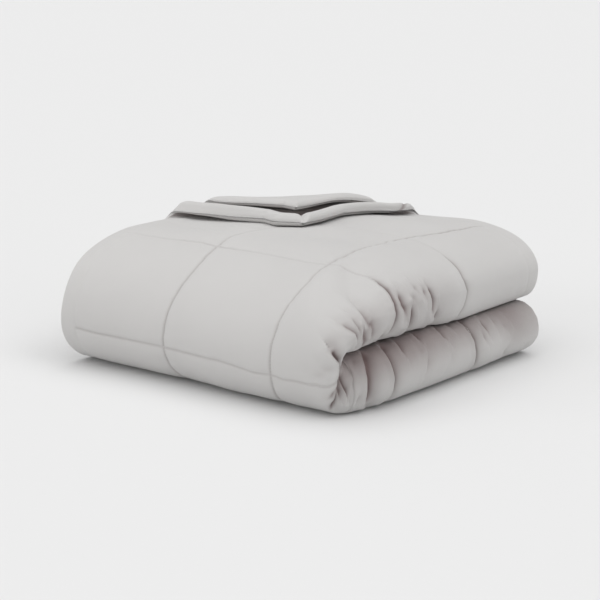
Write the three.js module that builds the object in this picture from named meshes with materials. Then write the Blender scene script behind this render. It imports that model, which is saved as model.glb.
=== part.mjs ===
import * as THREE from "three";

// A quilted blanket, folded for the shelf, in millimetres, +Z up, resting on Z = 0.
//
// It is one sheet of quilted cloth. U runs across it and V along it. The sheet is
// folded in half along V, then twice across U into a quarter, then in half again
// about the spine, which makes sixteen layers. Last, the corner of the two top
// layers is turned down over the pile.
//
// +X is the side of the two rolls, -X the side of the hems, -Y the spine and +Y the
// side where the top hems end.

// The flat sheet and its sewn boxes
const BOXES_ACROSS = 11;
const BOXES_ALONG = 12;
const CLOTH_ACROSS = 2286;
const CLOTH_ALONG = 2438.4;
const BOX_ACROSS = CLOTH_ACROSS / BOXES_ACROSS;
const BOX_ALONG = CLOTH_ALONG / BOXES_ALONG;
const HEM_STITCH = 34;

// The pressed layers, before the pile's own height stretches or squeezes them
const LAYER_PITCH = 12;
const LAYER_THICK = 10.2;
const LAYERS_IN_HALF = 8;
const HALF_PILE = LAYER_PITCH * LAYERS_IN_HALF;
const SKIN = LAYER_THICK / 2;
const OUTERMOST = (HALF_PILE - LAYER_PITCH / 2 + SKIN) / HALF_PILE;

// Relief of the quilting on the faces that show
const SEAM_DEEP = 2.6;
const SEAM_HALF_WIDE = 11;
const SEAM_CUT = 0.2;

// Where the hems end
const TOP_HEM_X = -272;
const TOP_HEM_Y = 272;
const INNER_HEM_X = -263;
const UNDER_LAYER_IN = 6;
const UNDER_LAYER_REACH = { acrossFrom: 250, acrossTo: 420, alongFrom: 300, alongTo: 600 };
const UNDER_LAYER_FADE = { across: 400, along: 332 };

// The first fold, in half along V
const MIDDLE_BEND = 9;

// The second fold, on the hem side, and the two turns inside the rolls
const INNER_FOLD_X = -250;
const INNER_FOLD = { from: 1124, to: 1162 };
const INNER_TURN = { from: 1690, to: 1734 };
const ROLL_CORE_IN = 52;
const INNER_TURN_IN = 6;
const RISE_EASE = 0.25;
const ROLL_ARC = { upper: 1.15, lower: 1.05 };

// The rolls, going along V: their outermost X, where the top starts to fall, the
// level of the outermost point in the half pile, and where the underside goes flat
const ROLL_SECTIONS = [
  { v: 0, edge: 254, rise: 120, mid: 42, tuck: 222 },
  { v: 60, edge: 258, rise: 122, mid: 42, tuck: 231 },
  { v: 203, edge: 267, rise: 135, mid: 41, tuck: 239 },
  { v: 405, edge: 279, rise: 160, mid: 46, tuck: 238 },
  { v: 500, edge: 276, rise: 172, mid: 46, tuck: 236 },
  { v: 570, edge: 269, rise: 195, mid: 46, tuck: 230 },
  { v: 640, edge: 263, rise: 225, mid: 45, tuck: 226 },
  { v: 710, edge: 265, rise: 228, mid: 45, tuck: 228 },
  { v: 790, edge: 283, rise: 232, mid: 46, tuck: 240 },
  { v: 1000, edge: 277, rise: 228, mid: 45, tuck: 242 },
  { v: 1160, edge: 273, rise: 217, mid: 49, tuck: 236 },
  { v: 1219, edge: 270, rise: 214, mid: 50, tuck: 228 },
];

// The spine, where the quarter is folded in half: on the hem side its shoulder is
// fuller, on the roll side it pinches towards the groove between the rolls
const SPINE = { start: -60, edge: -268, coreY: -188, coreZ: 80, foot: -200 };
const SPINE_AT_HEMS = { start: -55, edge: -9, arc: -0.09 };
const SPINE_AT_ROLLS = { start: -145, edge: 5, coreY: -30, coreZ: 14 };
const HEM_BLEND = { from: -60, to: -230 };
const ROLL_BLEND = { from: 110, to: 300 };
const SPINE_ARC = 0.975;
const SPINE_EASE = 0.2;
const SPINE_TAPER = 8;

// The height of the pile's top, and the level between its two halves
const TOP_HEIGHT = 208;
const TOP_FALLS = { hems: 6, lip: 5, far: 7, near: 40, dent: 4 };
const GROOVE_HEIGHT = 88;
const GROOVE_LEVEL_Y = 80;
const LIP_FROM_X = -236;
const FAR_FALL = { from: 100, over: 150, most: 1.2 };
const NEAR_FALL = { from: -40, over: 150, most: 1.1 };
const DENT = { fromX: 40, toX: -100, fromY: -40, toY: 100 };

// Where the underside lies along Y: the cloth is slack beside the spine
const FLOOR_ROWS = [
  { v: 700, y: SPINE.foot },
  { v: 812.8, y: -126 },
  { v: 1016, y: 66 },
  { v: 1210, y: 246 },
  { v: 1230, y: 266 },
];
const FLOOR_BLEND = 200;
const FLOOR_EASE = 60;

// The corner turned down over the top: two layers, bent about a diagonal
const CORNER_LEG = 272;
const CORNER_BEND = 7.2;
const CORNER_DROP = 13.4;
const CORNER_LAYERS = {
  outer: { leg: CORNER_LEG, bend: CORNER_BEND, side: -1, swell: 0.2, sink: 1.5 },
  under: {
    leg: CORNER_LEG - 2 * UNDER_LAYER_IN,
    bend: CORNER_BEND + CORNER_DROP,
    side: 1,
    swell: 0.08,
    sink: 0.1,
  },
};
const CORNER_SETTLE = { from: 10, to: 90 };
const BLUNT = { from: 45, keep: 0.6 };

// Creases pressed into the rolls: where along V, how wide to each side, how deep,
// and between which U they run
const CREASES = [
  { v: 250, wide: 13, deep: 3.0, from: 510, to: 640 },
  { v: 318, wide: 14, deep: 3.6, from: 490, to: 640 },
  { v: 362, wide: 13, deep: 4.2, from: 500, to: 650 },
  { v: 452, wide: 13, deep: 4.0, from: 520, to: 650 },
  { v: 492, wide: 13, deep: 4.4, from: 510, to: 650 },
  { v: 700, wide: 13, deep: 3.6, from: 470, to: 640 },
  { v: 738, wide: 14, deep: 4.2, from: 470, to: 650 },
  { v: 776, wide: 13, deep: 4.0, from: 480, to: 650 },
  { v: 868, wide: 15, deep: 3.6, from: 510, to: 650 },
  { v: 930, wide: 16, deep: 3.0, from: 520, to: 650 },
  { v: 1080, wide: 15, deep: 2.6, from: 520, to: 650 },
];
const CREASE_FADE = 45;

// Lines of the mesh across the sheet, section by section: each row ends at a U and
// has a number of steps up to there
const ACROSS_ROWS = [
  { to: HEM_STITCH, steps: 1 },
  { to: BOX_ACROSS - 14, steps: 2 },
  { to: BOX_ACROSS, steps: 1 },
  { to: BOX_ACROSS + 14, steps: 1 },
  { to: CORNER_LAYERS.under.leg, steps: 1 },
  { to: CORNER_LEG, steps: 1 },
  { to: 2 * BOX_ACROSS - 14, steps: 3 },
  { to: 2 * BOX_ACROSS, steps: 1 },
  { to: 2 * BOX_ACROSS + 18, steps: 1 },
  { to: 660, steps: 9 },
  { to: 750, steps: 3 },
  { to: INNER_FOLD.from, steps: 4 },
  { to: INNER_FOLD.to, steps: 4 },
  { to: 1573, steps: 4 },
  { to: INNER_TURN.from, steps: 3 },
  { to: INNER_TURN.to, steps: 4 },
  { to: 1832, steps: 3 },
  { to: 2257, steps: 4 },
  { to: CLOTH_ACROSS, steps: 1 },
];

// Lines of the mesh along the sheet, up to the first fold: those of the faces that
// lie inside the pile, of the broad outer face, and of the rolls
const ALONG_HIDDEN = [
  { to: 300, steps: 3 },
  { to: 720, steps: 12 },
  { to: CLOTH_ALONG / 2 - MIDDLE_BEND, steps: 3 },
];
const ALONG_BROAD_EXTRA = [
  34, 150, 189, 217, 250, 318, 352, 388, 420, 458, 492, 528, 562, 598, 622, 668, 702,
  799, 812.8, 827, 1002, 1016, 1030,
];
const ALONG_ROLL_STEP = 20;
const ROLL_FACE = { from: 430, to: 661 };
const BROAD_FACE_TO = 430;
const BEND_STEPS = 4;
const NEAREST_LINES = 8;
const NEAREST_CORNERS = 6;
const SAME_PLACE = 0.01;

// Rows of the turned corner: round its bend, then over its flat part
const CORNER_ROWS = { outerBend: 5, underBend: 7, flat: 6 };

// Where the sheet runs back towards the hems
const RUNS_BACK = [
  { from: 640, to: INNER_FOLD.to },
  { from: INNER_TURN.from, to: CLOTH_ACROSS },
];

const CLOTH_COLOUR = 0xc9c7c5;

function clamp(value, low, high) {
  return Math.min(Math.max(value, low), high);
}

function smooth(from, to, value) {
  const s = clamp((value - from) / (to - from), 0, 1);
  return s * s * (3 - 2 * s);
}

function mix(a, b, share) {
  return a + (b - a) * share;
}

// A number below one slows the start of a turn, where its ellipse runs fastest
function ease(share, slow) {
  return share - slow * share * (1 - share);
}

function quarterArc(a, b) {
  const h = ((a - b) / (a + b)) ** 2;
  return (Math.PI / 4) * (a + b) * (1 + (3 * h) / (10 + Math.sqrt(4 - 3 * h)));
}

// A smooth curve through one column of a table, along its column "v"
function along(table, column, v) {
  const last = table.length - 1;
  const at = clamp(v, table[0].v, table[last].v);
  let i = 0;
  while (i < last - 1 && at >= table[i + 1].v) i += 1;
  const slope = (k) => {
    const a = table[Math.max(k - 1, 0)];
    const b = table[Math.min(k + 1, last)];
    return (b[column] - a[column]) / (b.v - a.v);
  };
  const span = table[i + 1].v - table[i].v;
  const s = (at - table[i].v) / span;
  const start = table[i][column] * (1 + 2 * s) * (1 - s) ** 2;
  const end = table[i + 1][column] * s * s * (3 - 2 * s);
  const bends = slope(i) * s * (1 - s) ** 2 + slope(i + 1) * s * s * (s - 1);
  return start + end + span * bends;
}

// First fold: V is halved, and the offset from the double layer's middle follows
function foldInHalf(v, skin) {
  const start = CLOTH_ALONG / 2 - MIDDLE_BEND;
  const angle = clamp((v - start) / (2 * MIDDLE_BEND), 0, 1) * Math.PI;
  const reach = LAYER_PITCH / 2 + skin;
  let halved = start + reach * Math.sin(angle);
  if (v < start) halved = v;
  if (v > CLOTH_ALONG - start) halved = CLOTH_ALONG - v;
  return { v: halved, offset: reach * Math.cos(angle) };
}

// Second fold: the double layer runs across the top, round the roll, back, round the
// fold on the hem side, out to the roll's core and back to its own hem
function foldInQuarter(u, offset, v) {
  const edge = along(ROLL_SECTIONS, "edge", v);
  const rise = along(ROLL_SECTIONS, "rise", v);
  const mid = along(ROLL_SECTIONS, "mid", v);
  const tuck = along(ROLL_SECTIONS, "tuck", v);
  const core = edge - ROLL_CORE_IN;
  const half = HALF_PILE / 2;
  const turnStart = rise - TOP_HEM_X;
  const turnMid = turnStart + quarterArc(edge - rise, ROLL_ARC.upper * (HALF_PILE - mid));
  const turnEnd = turnMid + quarterArc(edge - tuck, ROLL_ARC.lower * mid);

  const turn = (angle, level) => {
    const upper = angle <= Math.PI / 2;
    const x = upper ? mix(rise, edge, Math.sin(angle)) : mix(tuck, edge, Math.sin(angle));
    const n = upper ? mid + (HALF_PILE - mid) * Math.cos(angle) : mid + mid * Math.cos(angle);
    const share = level / half;
    const inward = level < half / 2 ? INNER_TURN_IN * share : 0;
    return { x: mix(core, x, share) - inward, n: mix(half, n, share) };
  };

  const outerLevel = 3 * LAYER_PITCH + offset;
  const innerLevel = LAYER_PITCH - offset;
  if (u < turnStart) {
    const x = mix(TOP_HEM_X, turn(0, outerLevel).x, u / turnStart);
    return { x, n: 7 * LAYER_PITCH + offset };
  }
  if (u <= turnEnd) {
    const first = ease(clamp((u - turnStart) / (turnMid - turnStart), 0, 1), RISE_EASE);
    const second = clamp((u - turnMid) / (turnEnd - turnMid), 0, 1);
    return turn(((first + second) * Math.PI) / 2, outerLevel);
  }
  if (u < INNER_FOLD.from) {
    const share = (u - turnEnd) / (INNER_FOLD.from - turnEnd);
    return { x: mix(turn(Math.PI, outerLevel).x, INNER_FOLD_X, share), n: LAYER_PITCH - offset };
  }
  if (u <= INNER_FOLD.to) {
    const angle = ((u - INNER_FOLD.from) / (INNER_FOLD.to - INNER_FOLD.from)) * Math.PI;
    const reach = LAYER_PITCH + offset;
    return {
      x: INNER_FOLD_X - reach * Math.sin(angle),
      n: 2 * LAYER_PITCH - reach * Math.cos(angle),
    };
  }
  if (u < INNER_TURN.from) {
    const share = (u - INNER_FOLD.to) / (INNER_TURN.from - INNER_FOLD.to);
    return { x: mix(INNER_FOLD_X, turn(Math.PI, innerLevel).x, share), n: 3 * LAYER_PITCH + offset };
  }
  if (u <= INNER_TURN.to) {
    const share = (u - INNER_TURN.from) / (INNER_TURN.to - INNER_TURN.from);
    return turn(Math.PI * (1 - share), innerLevel);
  }
  const share = (u - INNER_TURN.to) / (CLOTH_ACROSS - INNER_TURN.to);
  return { x: mix(turn(0, innerLevel).x, INNER_HEM_X, share), n: 5 * LAYER_PITCH - offset };
}

function topHeight(x, y) {
  const hems = smooth(HEM_BLEND.from, HEM_BLEND.to, x);
  const rolls = smooth(ROLL_BLEND.from, ROLL_BLEND.to, x);
  const lip = smooth(LIP_FROM_X, TOP_HEM_X, x);
  const far = clamp((y - FAR_FALL.from) / FAR_FALL.over, 0, FAR_FALL.most) ** 2;
  const near = rolls * clamp((NEAR_FALL.from - y) / NEAR_FALL.over, 0, NEAR_FALL.most) ** 2;
  const dent = smooth(DENT.fromX, DENT.toX, x) * smooth(DENT.fromY, DENT.toY, y);
  return (
    TOP_HEIGHT -
    TOP_FALLS.hems * hems -
    TOP_FALLS.lip * lip -
    TOP_FALLS.far * far -
    TOP_FALLS.near * near -
    TOP_FALLS.dent * dent
  );
}

// Third fold: the quarter's top half runs to the spine, round it and back below
function foldAtSpine(v, n, x) {
  const hems = smooth(HEM_BLEND.from, HEM_BLEND.to, x);
  const rolls = smooth(ROLL_BLEND.from, ROLL_BLEND.to, x);
  const start = SPINE.start + SPINE_AT_HEMS.start * hems + SPINE_AT_ROLLS.start * rolls;
  const edge = SPINE.edge + SPINE_AT_HEMS.edge * hems + SPINE_AT_ROLLS.edge * rolls;
  const coreY = SPINE.coreY + SPINE_AT_ROLLS.coreY * rolls;
  const coreZ = SPINE.coreZ + SPINE_AT_ROLLS.coreZ * rolls;
  const top = topHeight(x, start);
  const share = n / HALF_PILE;

  const turnStart = TOP_HEM_Y - start;
  const upperArc = quarterArc(start - edge, top - coreZ) * (SPINE_ARC + SPINE_AT_HEMS.arc * hems);
  const turnMid = turnStart + upperArc;
  const turnEnd = turnMid + quarterArc(SPINE.foot - edge, coreZ);
  const between = (y) => mix(coreZ, GROOVE_HEIGHT, smooth(SPINE.start, GROOVE_LEVEL_Y, y));

  if (v < turnStart) {
    const run = v / turnStart;
    const end = mix(coreY, start, share);
    const y = mix(TOP_HEM_Y, start, run) + (end - start) * run ** SPINE_TAPER;
    return { y, z: mix(between(y), topHeight(x, y), share) };
  }
  if (v <= turnEnd) {
    const slow = SPINE_EASE * (1 - rolls);
    const first = ease(clamp((v - turnStart) / (turnMid - turnStart), 0, 1), slow);
    const second = clamp((v - turnMid) / (turnEnd - turnMid), 0, 1);
    const angle = ((first + second) * Math.PI) / 2;
    const upper = angle <= Math.PI / 2;
    const y = mix(upper ? start : SPINE.foot, edge, Math.sin(angle));
    const z = coreZ + (upper ? top - coreZ : coreZ) * Math.cos(angle);
    return { y: mix(coreY, y, share), z: mix(coreZ, z, share) };
  }
  const onFloor = along(FLOOR_ROWS, "y", v) - SPINE.foot;
  const outer = SPINE.foot + onFloor * smooth(turnEnd, turnEnd + FLOOR_EASE, v);
  const foot = mix(coreY, SPINE.foot, share) - SPINE.foot;
  const y = outer + foot * (1 - smooth(turnEnd, turnEnd + FLOOR_BLEND, v));
  return { y, z: between(y) * (OUTERMOST - share) };
}

// The folded sheet before its corner is turned down
function foldedPoint(u, v, skin) {
  const first = foldInHalf(v, skin);
  const second = foldInQuarter(u, first.offset, first.v);
  const third = foldAtSpine(first.v, second.n, second.x);
  let { x } = second;
  let { y } = third;
  if (v > CLOTH_ALONG / 2) {
    const fromHem = CLOTH_ALONG - v;
    const reach = UNDER_LAYER_REACH;
    const across = 1 - smooth(reach.acrossFrom, reach.acrossTo, u);
    const inward = UNDER_LAYER_IN * across * (1 - smooth(reach.alongFrom, reach.alongTo, fromHem));
    x += inward * Math.max(1 - u / UNDER_LAYER_FADE.across, 0);
    y -= inward * Math.max(1 - fromHem / UNDER_LAYER_FADE.along, 0);
  }
  return new THREE.Vector3(x, y, third.z);
}

// A point of the blanket: beyond the corner's diagonal the layer bends up and over
function blanketPoint(u, v, skin) {
  const isUnder = v > CLOTH_ALONG / 2;
  const layer = isUnder ? CORNER_LAYERS.under : CORNER_LAYERS.outer;
  const fromHem = isUnder ? CLOTH_ALONG - v : v;
  const beyond = (layer.leg - u - fromHem) / Math.SQRT2;
  if (beyond <= 0 || u > CORNER_LEG) return foldedPoint(u, v, skin);

  const back = beyond / Math.SQRT2;
  const point = foldedPoint(u + back, isUnder ? v - back : v + back, skin);
  const angle = clamp(beyond / layer.bend, 0, Math.PI);
  const past = Math.max(beyond - Math.PI * layer.bend, 0);
  const kept = isUnder && past > BLUNT.from ? mix(BLUNT.from, past, BLUNT.keep) : past;
  const settled = smooth(CORNER_SETTLE.from, CORNER_SETTLE.to, past);
  const reach = layer.bend + layer.side * skin * (1 + layer.swell * settled);
  const outward = (reach * Math.sin(angle) - kept) / Math.SQRT2;
  const x = point.x - outward;
  const y = point.y + outward;
  const turned = 1 - Math.cos(angle);
  const slope = ((topHeight(x, y) - topHeight(point.x, point.y)) * turned) / 2;
  const lift = (0.5 * layer.swell * LAYER_THICK - layer.sink) * settled;
  return new THREE.Vector3(x, y, point.z + reach * turned + slope + lift);
}

// How far the outer face is drawn in by the seams and pressed in by the creases
function seamDepth(position, box) {
  const toSeam = Math.abs(position - box * Math.round(position / box));
  const dip = Math.exp(-((toSeam / SEAM_HALF_WIDE) ** 2));
  return (SEAM_DEEP * Math.max(dip - SEAM_CUT, 0)) / (1 - SEAM_CUT);
}

function creaseDepth(u, v) {
  let depth = 0;
  for (const crease of CREASES) {
    const across = Math.exp(-(((v - crease.v) / crease.wide) ** 2));
    const fadeIn = smooth(crease.from, crease.from + CREASE_FADE, u);
    const fadeOut = 1 - smooth(crease.to - CREASE_FADE, crease.to, u);
    depth += crease.deep * across * fadeIn * fadeOut;
  }
  return depth;
}

function faceSkin(u, v, onOuterFace) {
  if (!onOuterFace) return -SKIN;
  if (v > CLOTH_ALONG / 2 - MIDDLE_BEND || u > ROLL_FACE.to) return SKIN;
  const seams = Math.max(seamDepth(u, BOX_ACROSS), seamDepth(v, BOX_ALONG));
  return SKIN - Math.max(seams, creaseDepth(u, v));
}

// Lines of the mesh
function stepsThrough(rows) {
  const stops = [0];
  for (const row of rows) {
    const from = stops[stops.length - 1];
    for (let i = 1; i <= row.steps; i += 1) {
      stops.push(mix(from, row.to, i / row.steps));
    }
  }
  return stops;
}

const ACROSS = stepsThrough(ACROSS_ROWS);
const HIDDEN_HALF = stepsThrough(ALONG_HIDDEN);

function wholeLength(half) {
  const bend = [];
  const start = half[half.length - 1];
  for (let i = 1; i < BEND_STEPS; i += 1) {
    bend.push(mix(start, CLOTH_ALONG - start, i / BEND_STEPS));
  }
  const back = HIDDEN_HALF.map((v) => CLOTH_ALONG - v).reverse();
  return [...half, ...bend, ...back];
}

function mergedStops(stops, extra) {
  const kept = extra.filter((v) => stops.every((s) => Math.abs(s - v) > NEAREST_LINES));
  return [...stops, ...kept].sort((a, b) => a - b);
}

function rollStops() {
  const fine = [];
  const end = CLOTH_ALONG / 2 - MIDDLE_BEND;
  for (let v = ALONG_ROLL_STEP; v < end; v += ALONG_ROLL_STEP) fine.push(v);
  return mergedStops(HIDDEN_HALF, fine);
}

const HIDDEN_STOPS = wholeLength(HIDDEN_HALF);
const BROAD_STOPS = wholeLength(mergedStops(HIDDEN_HALF, ALONG_BROAD_EXTRA));
const ROLL_STOPS = wholeLength(rollStops());

function stopsFor(u, onOuterFace) {
  if (u === 0) return BROAD_STOPS;
  if (!onOuterFace) return HIDDEN_STOPS;
  if (u > ROLL_FACE.from && u < ROLL_FACE.to) return ROLL_STOPS;
  return u <= BROAD_FACE_TO ? BROAD_STOPS : HIDDEN_STOPS;
}

// The mesh is gathered here: corners by their place on the sheet, then triangles
const corners = [];
const triangles = [];

function addCorner(u, v, skin) {
  corners.push(blanketPoint(u, v, skin));
  return corners.length - 1;
}

function addTriangle(a, b, c, flip) {
  if (flip) triangles.push(a, c, b);
  else triangles.push(a, b, c);
}

// Fills the strip between two neighbouring lines of corners. Where both have a corner
// at the same V, the diagonal leans so that it lies along those of the layers it touches
function addStrip(left, right, flip, runsBack) {
  let i = 0;
  let j = 0;
  while (i < left.length - 1 || j < right.length - 1) {
    const leftNext = i < left.length - 1 ? left[i + 1].at : Infinity;
    const rightNext = j < right.length - 1 ? right[j + 1].at : Infinity;
    const leftFirst = (Math.min(leftNext, rightNext) <= CLOTH_ALONG / 2) !== runsBack;
    if (leftNext < rightNext || (leftNext === rightNext && leftFirst)) {
      addTriangle(left[i].id, right[j].id, left[i + 1].id, flip);
      i += 1;
    } else {
      addTriangle(left[i].id, right[j].id, right[j + 1].id, flip);
      j += 1;
    }
  }
}

// One line of corners at a U, from the diagonal or hem to the other diagonal or hem
function lineOfCorners(u, onOuterFace) {
  const first = Math.max(CORNER_LAYERS.outer.leg - u, 0);
  const last = CLOTH_ALONG - Math.max(CORNER_LAYERS.under.leg - u, 0);
  const low = first + NEAREST_CORNERS;
  const high = last - NEAREST_CORNERS;
  const inside = stopsFor(u, onOuterFace).filter((v) => v > low && v < high);
  return [first, ...inside, last].map((v) => ({
    at: v,
    id: addCorner(u, v, faceSkin(u, v, onOuterFace)),
  }));
}

// The turned-down corner of one layer: rows beside the diagonal, then its tip
function cornerRows(layer, diagonal, isUnder, onOuterFace) {
  const depth = layer.leg / Math.SQRT2;
  const bendLength = Math.PI * layer.bend;
  const bendRows = isUnder ? CORNER_ROWS.underBend : CORNER_ROWS.outerBend;
  const rows = [diagonal];
  for (let r = 1; r <= bendRows + CORNER_ROWS.flat; r += 1) {
    const onBend = r <= bendRows;
    const past = onBend
      ? (bendLength * r) / bendRows
      : mix(bendLength, depth, (r - bendRows) / (CORNER_ROWS.flat + 1));
    const leg = layer.leg - past * Math.SQRT2;
    rows.push(
      diagonal.map((corner) => {
        const u = leg * corner.share;
        const fromHem = leg - u;
        const v = isUnder ? CLOTH_ALONG - fromHem : fromHem;
        return { share: corner.share, id: addCorner(u, v, onOuterFace ? SKIN : -SKIN) };
      }),
    );
  }
  return rows;
}

function addCornerFace(rows, tip, flip) {
  for (let r = 0; r < rows.length - 1; r += 1) {
    for (let k = 0; k < rows[r].length - 1; k += 1) {
      const [a, b] = [rows[r][k].id, rows[r][k + 1].id];
      const [c, d] = [rows[r + 1][k + 1].id, rows[r + 1][k].id];
      addTriangle(a, b, c, flip);
      addTriangle(a, c, d, flip);
    }
  }
  const lastRow = rows[rows.length - 1];
  for (let k = 0; k < lastRow.length - 1; k += 1) {
    addTriangle(lastRow[k].id, lastRow[k + 1].id, tip, flip);
  }
}

// One whole face of the sheet, with its two turned corners. It gives back the ring of
// corners round the sheet, in order, each with its place
function addFace(onOuterFace) {
  const flip = onOuterFace;
  const lines = ACROSS.map((u) => lineOfCorners(u, onOuterFace));
  for (let i = 0; i < lines.length - 1; i += 1) {
    const runsBack = RUNS_BACK.some((run) => ACROSS[i] >= run.from && ACROSS[i] < run.to);
    addStrip(lines[i], lines[i + 1], flip, runsBack);
  }

  const sides = { outer: [], under: [] };
  for (const [name, list] of Object.entries(sides)) {
    const { leg } = CORNER_LAYERS[name];
    ACROSS.forEach((u, i) => {
      if (u > leg + SAME_PLACE) return;
      const line = lines[i];
      const end = name === "outer" ? line[0] : line[line.length - 1];
      list.push({ share: u / leg, id: end.id });
    });
  }
  const outerRows = cornerRows(CORNER_LAYERS.outer, sides.outer, false, onOuterFace);
  const underRows = cornerRows(CORNER_LAYERS.under, sides.under, true, onOuterFace);
  const outerTip = addCorner(0, 0, onOuterFace ? SKIN : -SKIN);
  const underTip = addCorner(0, CLOTH_ALONG, onOuterFace ? SKIN : -SKIN);
  addCornerFace(outerRows, outerTip, !flip);
  addCornerFace(underRows, underTip, flip);

  const start = (row) => row[0].id;
  const end = (row) => row[row.length - 1].id;
  const lastLine = lines[lines.length - 1];
  const outerCount = sides.outer.length;
  const underCount = sides.under.length;
  return [
    ...lines[0].map((corner) => corner.id),
    ...underRows.slice(1).map(start),
    underTip,
    ...underRows.toReversed().map(end),
    ...lines.slice(underCount).map((line) => line[line.length - 1].id),
    ...lastLine.slice(0, -1).reverse().map((corner) => corner.id),
    ...lines.slice(outerCount - 1, -1).reverse().map((line) => line[0].id),
    ...outerRows.slice(1).map(end),
    outerTip,
    ...outerRows.slice(1).reverse().map(start),
  ];
}

// The hem closes the two faces with one strip
function addHem(outerRing, innerRing) {
  for (let i = 0; i < outerRing.length; i += 1) {
    const next = (i + 1) % outerRing.length;
    addTriangle(outerRing[i], innerRing[next], innerRing[i], true);
    addTriangle(outerRing[i], outerRing[next], innerRing[next], true);
  }
}

function makeBlanket() {
  const outerRing = addFace(true);
  const innerRing = addFace(false);
  addHem(outerRing, innerRing);

  const geometry = new THREE.BufferGeometry();
  const positions = new Float32Array(corners.length * 3);
  corners.forEach((corner, i) => corner.toArray(positions, i * 3));
  geometry.setAttribute("position", new THREE.BufferAttribute(positions, 3));
  geometry.setIndex(triangles);
  geometry.computeBoundingBox();
  const { min, max } = geometry.boundingBox;
  geometry.translate(-(min.x + max.x) / 2, -(min.y + max.y) / 2, -min.z);
  geometry.computeVertexNormals();
  const cloth = new THREE.MeshStandardMaterial({
    color: CLOTH_COLOUR,
    roughness: 0.9,
    metalness: 0,
  });
  const mesh = new THREE.Mesh(geometry, cloth);
  mesh.name = "blanket";
  return mesh;
}

const foldedBlanket = new THREE.Group();
foldedBlanket.add(makeBlanket());

export default foldedBlanket;
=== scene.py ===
import math

import bpy
import numpy as np
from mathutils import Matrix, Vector


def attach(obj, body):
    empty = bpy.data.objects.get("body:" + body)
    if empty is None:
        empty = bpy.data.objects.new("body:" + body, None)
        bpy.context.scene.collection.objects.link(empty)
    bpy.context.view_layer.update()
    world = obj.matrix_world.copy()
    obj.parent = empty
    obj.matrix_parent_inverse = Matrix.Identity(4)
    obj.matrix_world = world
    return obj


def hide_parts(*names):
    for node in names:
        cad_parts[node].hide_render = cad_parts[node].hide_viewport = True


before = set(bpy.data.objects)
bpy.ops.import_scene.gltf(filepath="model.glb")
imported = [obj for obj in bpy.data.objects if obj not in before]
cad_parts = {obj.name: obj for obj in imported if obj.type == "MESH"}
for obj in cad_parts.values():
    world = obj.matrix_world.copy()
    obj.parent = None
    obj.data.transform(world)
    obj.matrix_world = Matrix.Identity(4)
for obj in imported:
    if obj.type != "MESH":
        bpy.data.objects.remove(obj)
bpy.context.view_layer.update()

# The blanket is one quilted sheet. U runs across it and V along it, in millimetres.
# It is folded in half along V, into a quarter across U, in half again about the spine,
# and its top corner is turned down. The same folds make the solid that this piece replaces.
# Sizes are in millimetres until the finished points are placed, in metres.

# Flat sheet
CLOTH_ACROSS = 2286.0
CLOTH_ALONG = 2438.4
BOX_ACROSS = CLOTH_ACROSS / 11
BOX_ALONG = CLOTH_ALONG / 12
HALF_ALONG = CLOTH_ALONG / 2
HEM_STITCH = 34.0

# Pressed layers: from one to the next, and from a layer's middle to its faces
PITCH = 12.0
SKIN = 5.35
HALF_PILE = 96.0
OUTERMOST = (HALF_PILE - PITCH / 2 + SKIN) / HALF_PILE

# Hems, and the folds across U
TOP_HEM_X = -272.0
TOP_HEM_Y = 272.0
INNER_HEM_X = -263.0
INNER_FOLD_X = -250.0
INNER_FOLD = (1124.0, 1162.0)
INNER_TURN = (1690.0, 1734.0)
MIDDLE_BEND = 9.0
ROLL_CORE_IN = 52.0
ROLL_ARC = (1.15, 1.05)
ROLL_EASE = 0.25

# Rolls, going along V: outermost X, where the top starts to fall, the level of the
# outermost point, and where the underside goes flat
ROLL_COLUMNS = ("v", "edge", "rise", "mid", "tuck")
ROLL_ROWS = (
    (0, 254, 120, 42, 222),
    (60, 258, 122, 42, 231),
    (203, 267, 135, 41, 239),
    (405, 279, 160, 46, 238),
    (500, 276, 172, 46, 236),
    (570, 269, 195, 46, 230),
    (640, 263, 225, 45, 226),
    (710, 265, 228, 45, 228),
    (790, 283, 232, 46, 240),
    (1000, 277, 228, 45, 242),
    (1160, 273, 217, 49, 236),
    (1219, 270, 214, 50, 228),
)
ROLL = {name: np.array([row[i] for row in ROLL_ROWS], float) for i, name in enumerate(ROLL_COLUMNS)}

# Where the underside lies along Y
FLOOR = {
    "v": np.array([700.0, 812.8, 1016.0, 1210.0, 1230.0]),
    "y": np.array([-200.0, -126.0, 66.0, 246.0, 266.0]),
}

# Spine: each value in the middle, and what it gains at the hems' side and the rolls' side
SPINE_START = (-60.0, -55.0, -125.0)
SPINE_EDGE = (-268.0, -9.0, 4.0)
SPINE_CORE_Y = (-172.0, 0.0, -52.0)
SPINE_CORE_Z = (76.0, 0.0, 20.0)
SPINE_ARC = (0.975, -0.09, 0.0)
SPINE_EASE = (0.2, 0.0, -0.2)
SPINE_START_EASE = 8
SPINE_FOOT = -200.0
FOOT_BLEND = (60.0, 200.0)
HEM_BLEND = (-60.0, -230.0)
ROLL_BLEND = (110.0, 245.0)

# The level between the upper and the lower half of the pile, towards the far side
GROOVE_HEIGHT = 88.0
GROOVE_BLEND = (-60.0, 80.0)

# Height of the top, and how far it sinks towards each side and under the turned corner
TOP_HEIGHT = 208.0
SINK_AT_HEMS = 6.0
SINK_FAR = 7.0
SINK_FAR_FROM = 100.0
SINK_NEAR = 34.0
SINK_NEAR_FROM = -40.0
SINK_RUN = 150.0
SINK_LIP = 5.0
SINK_LIP_FROM = -236.0
SINK_CORNER = 4.0
SINK_CORNER_X = (40.0, -100.0)
SINK_CORNER_Y = (-40.0, 100.0)

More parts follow.
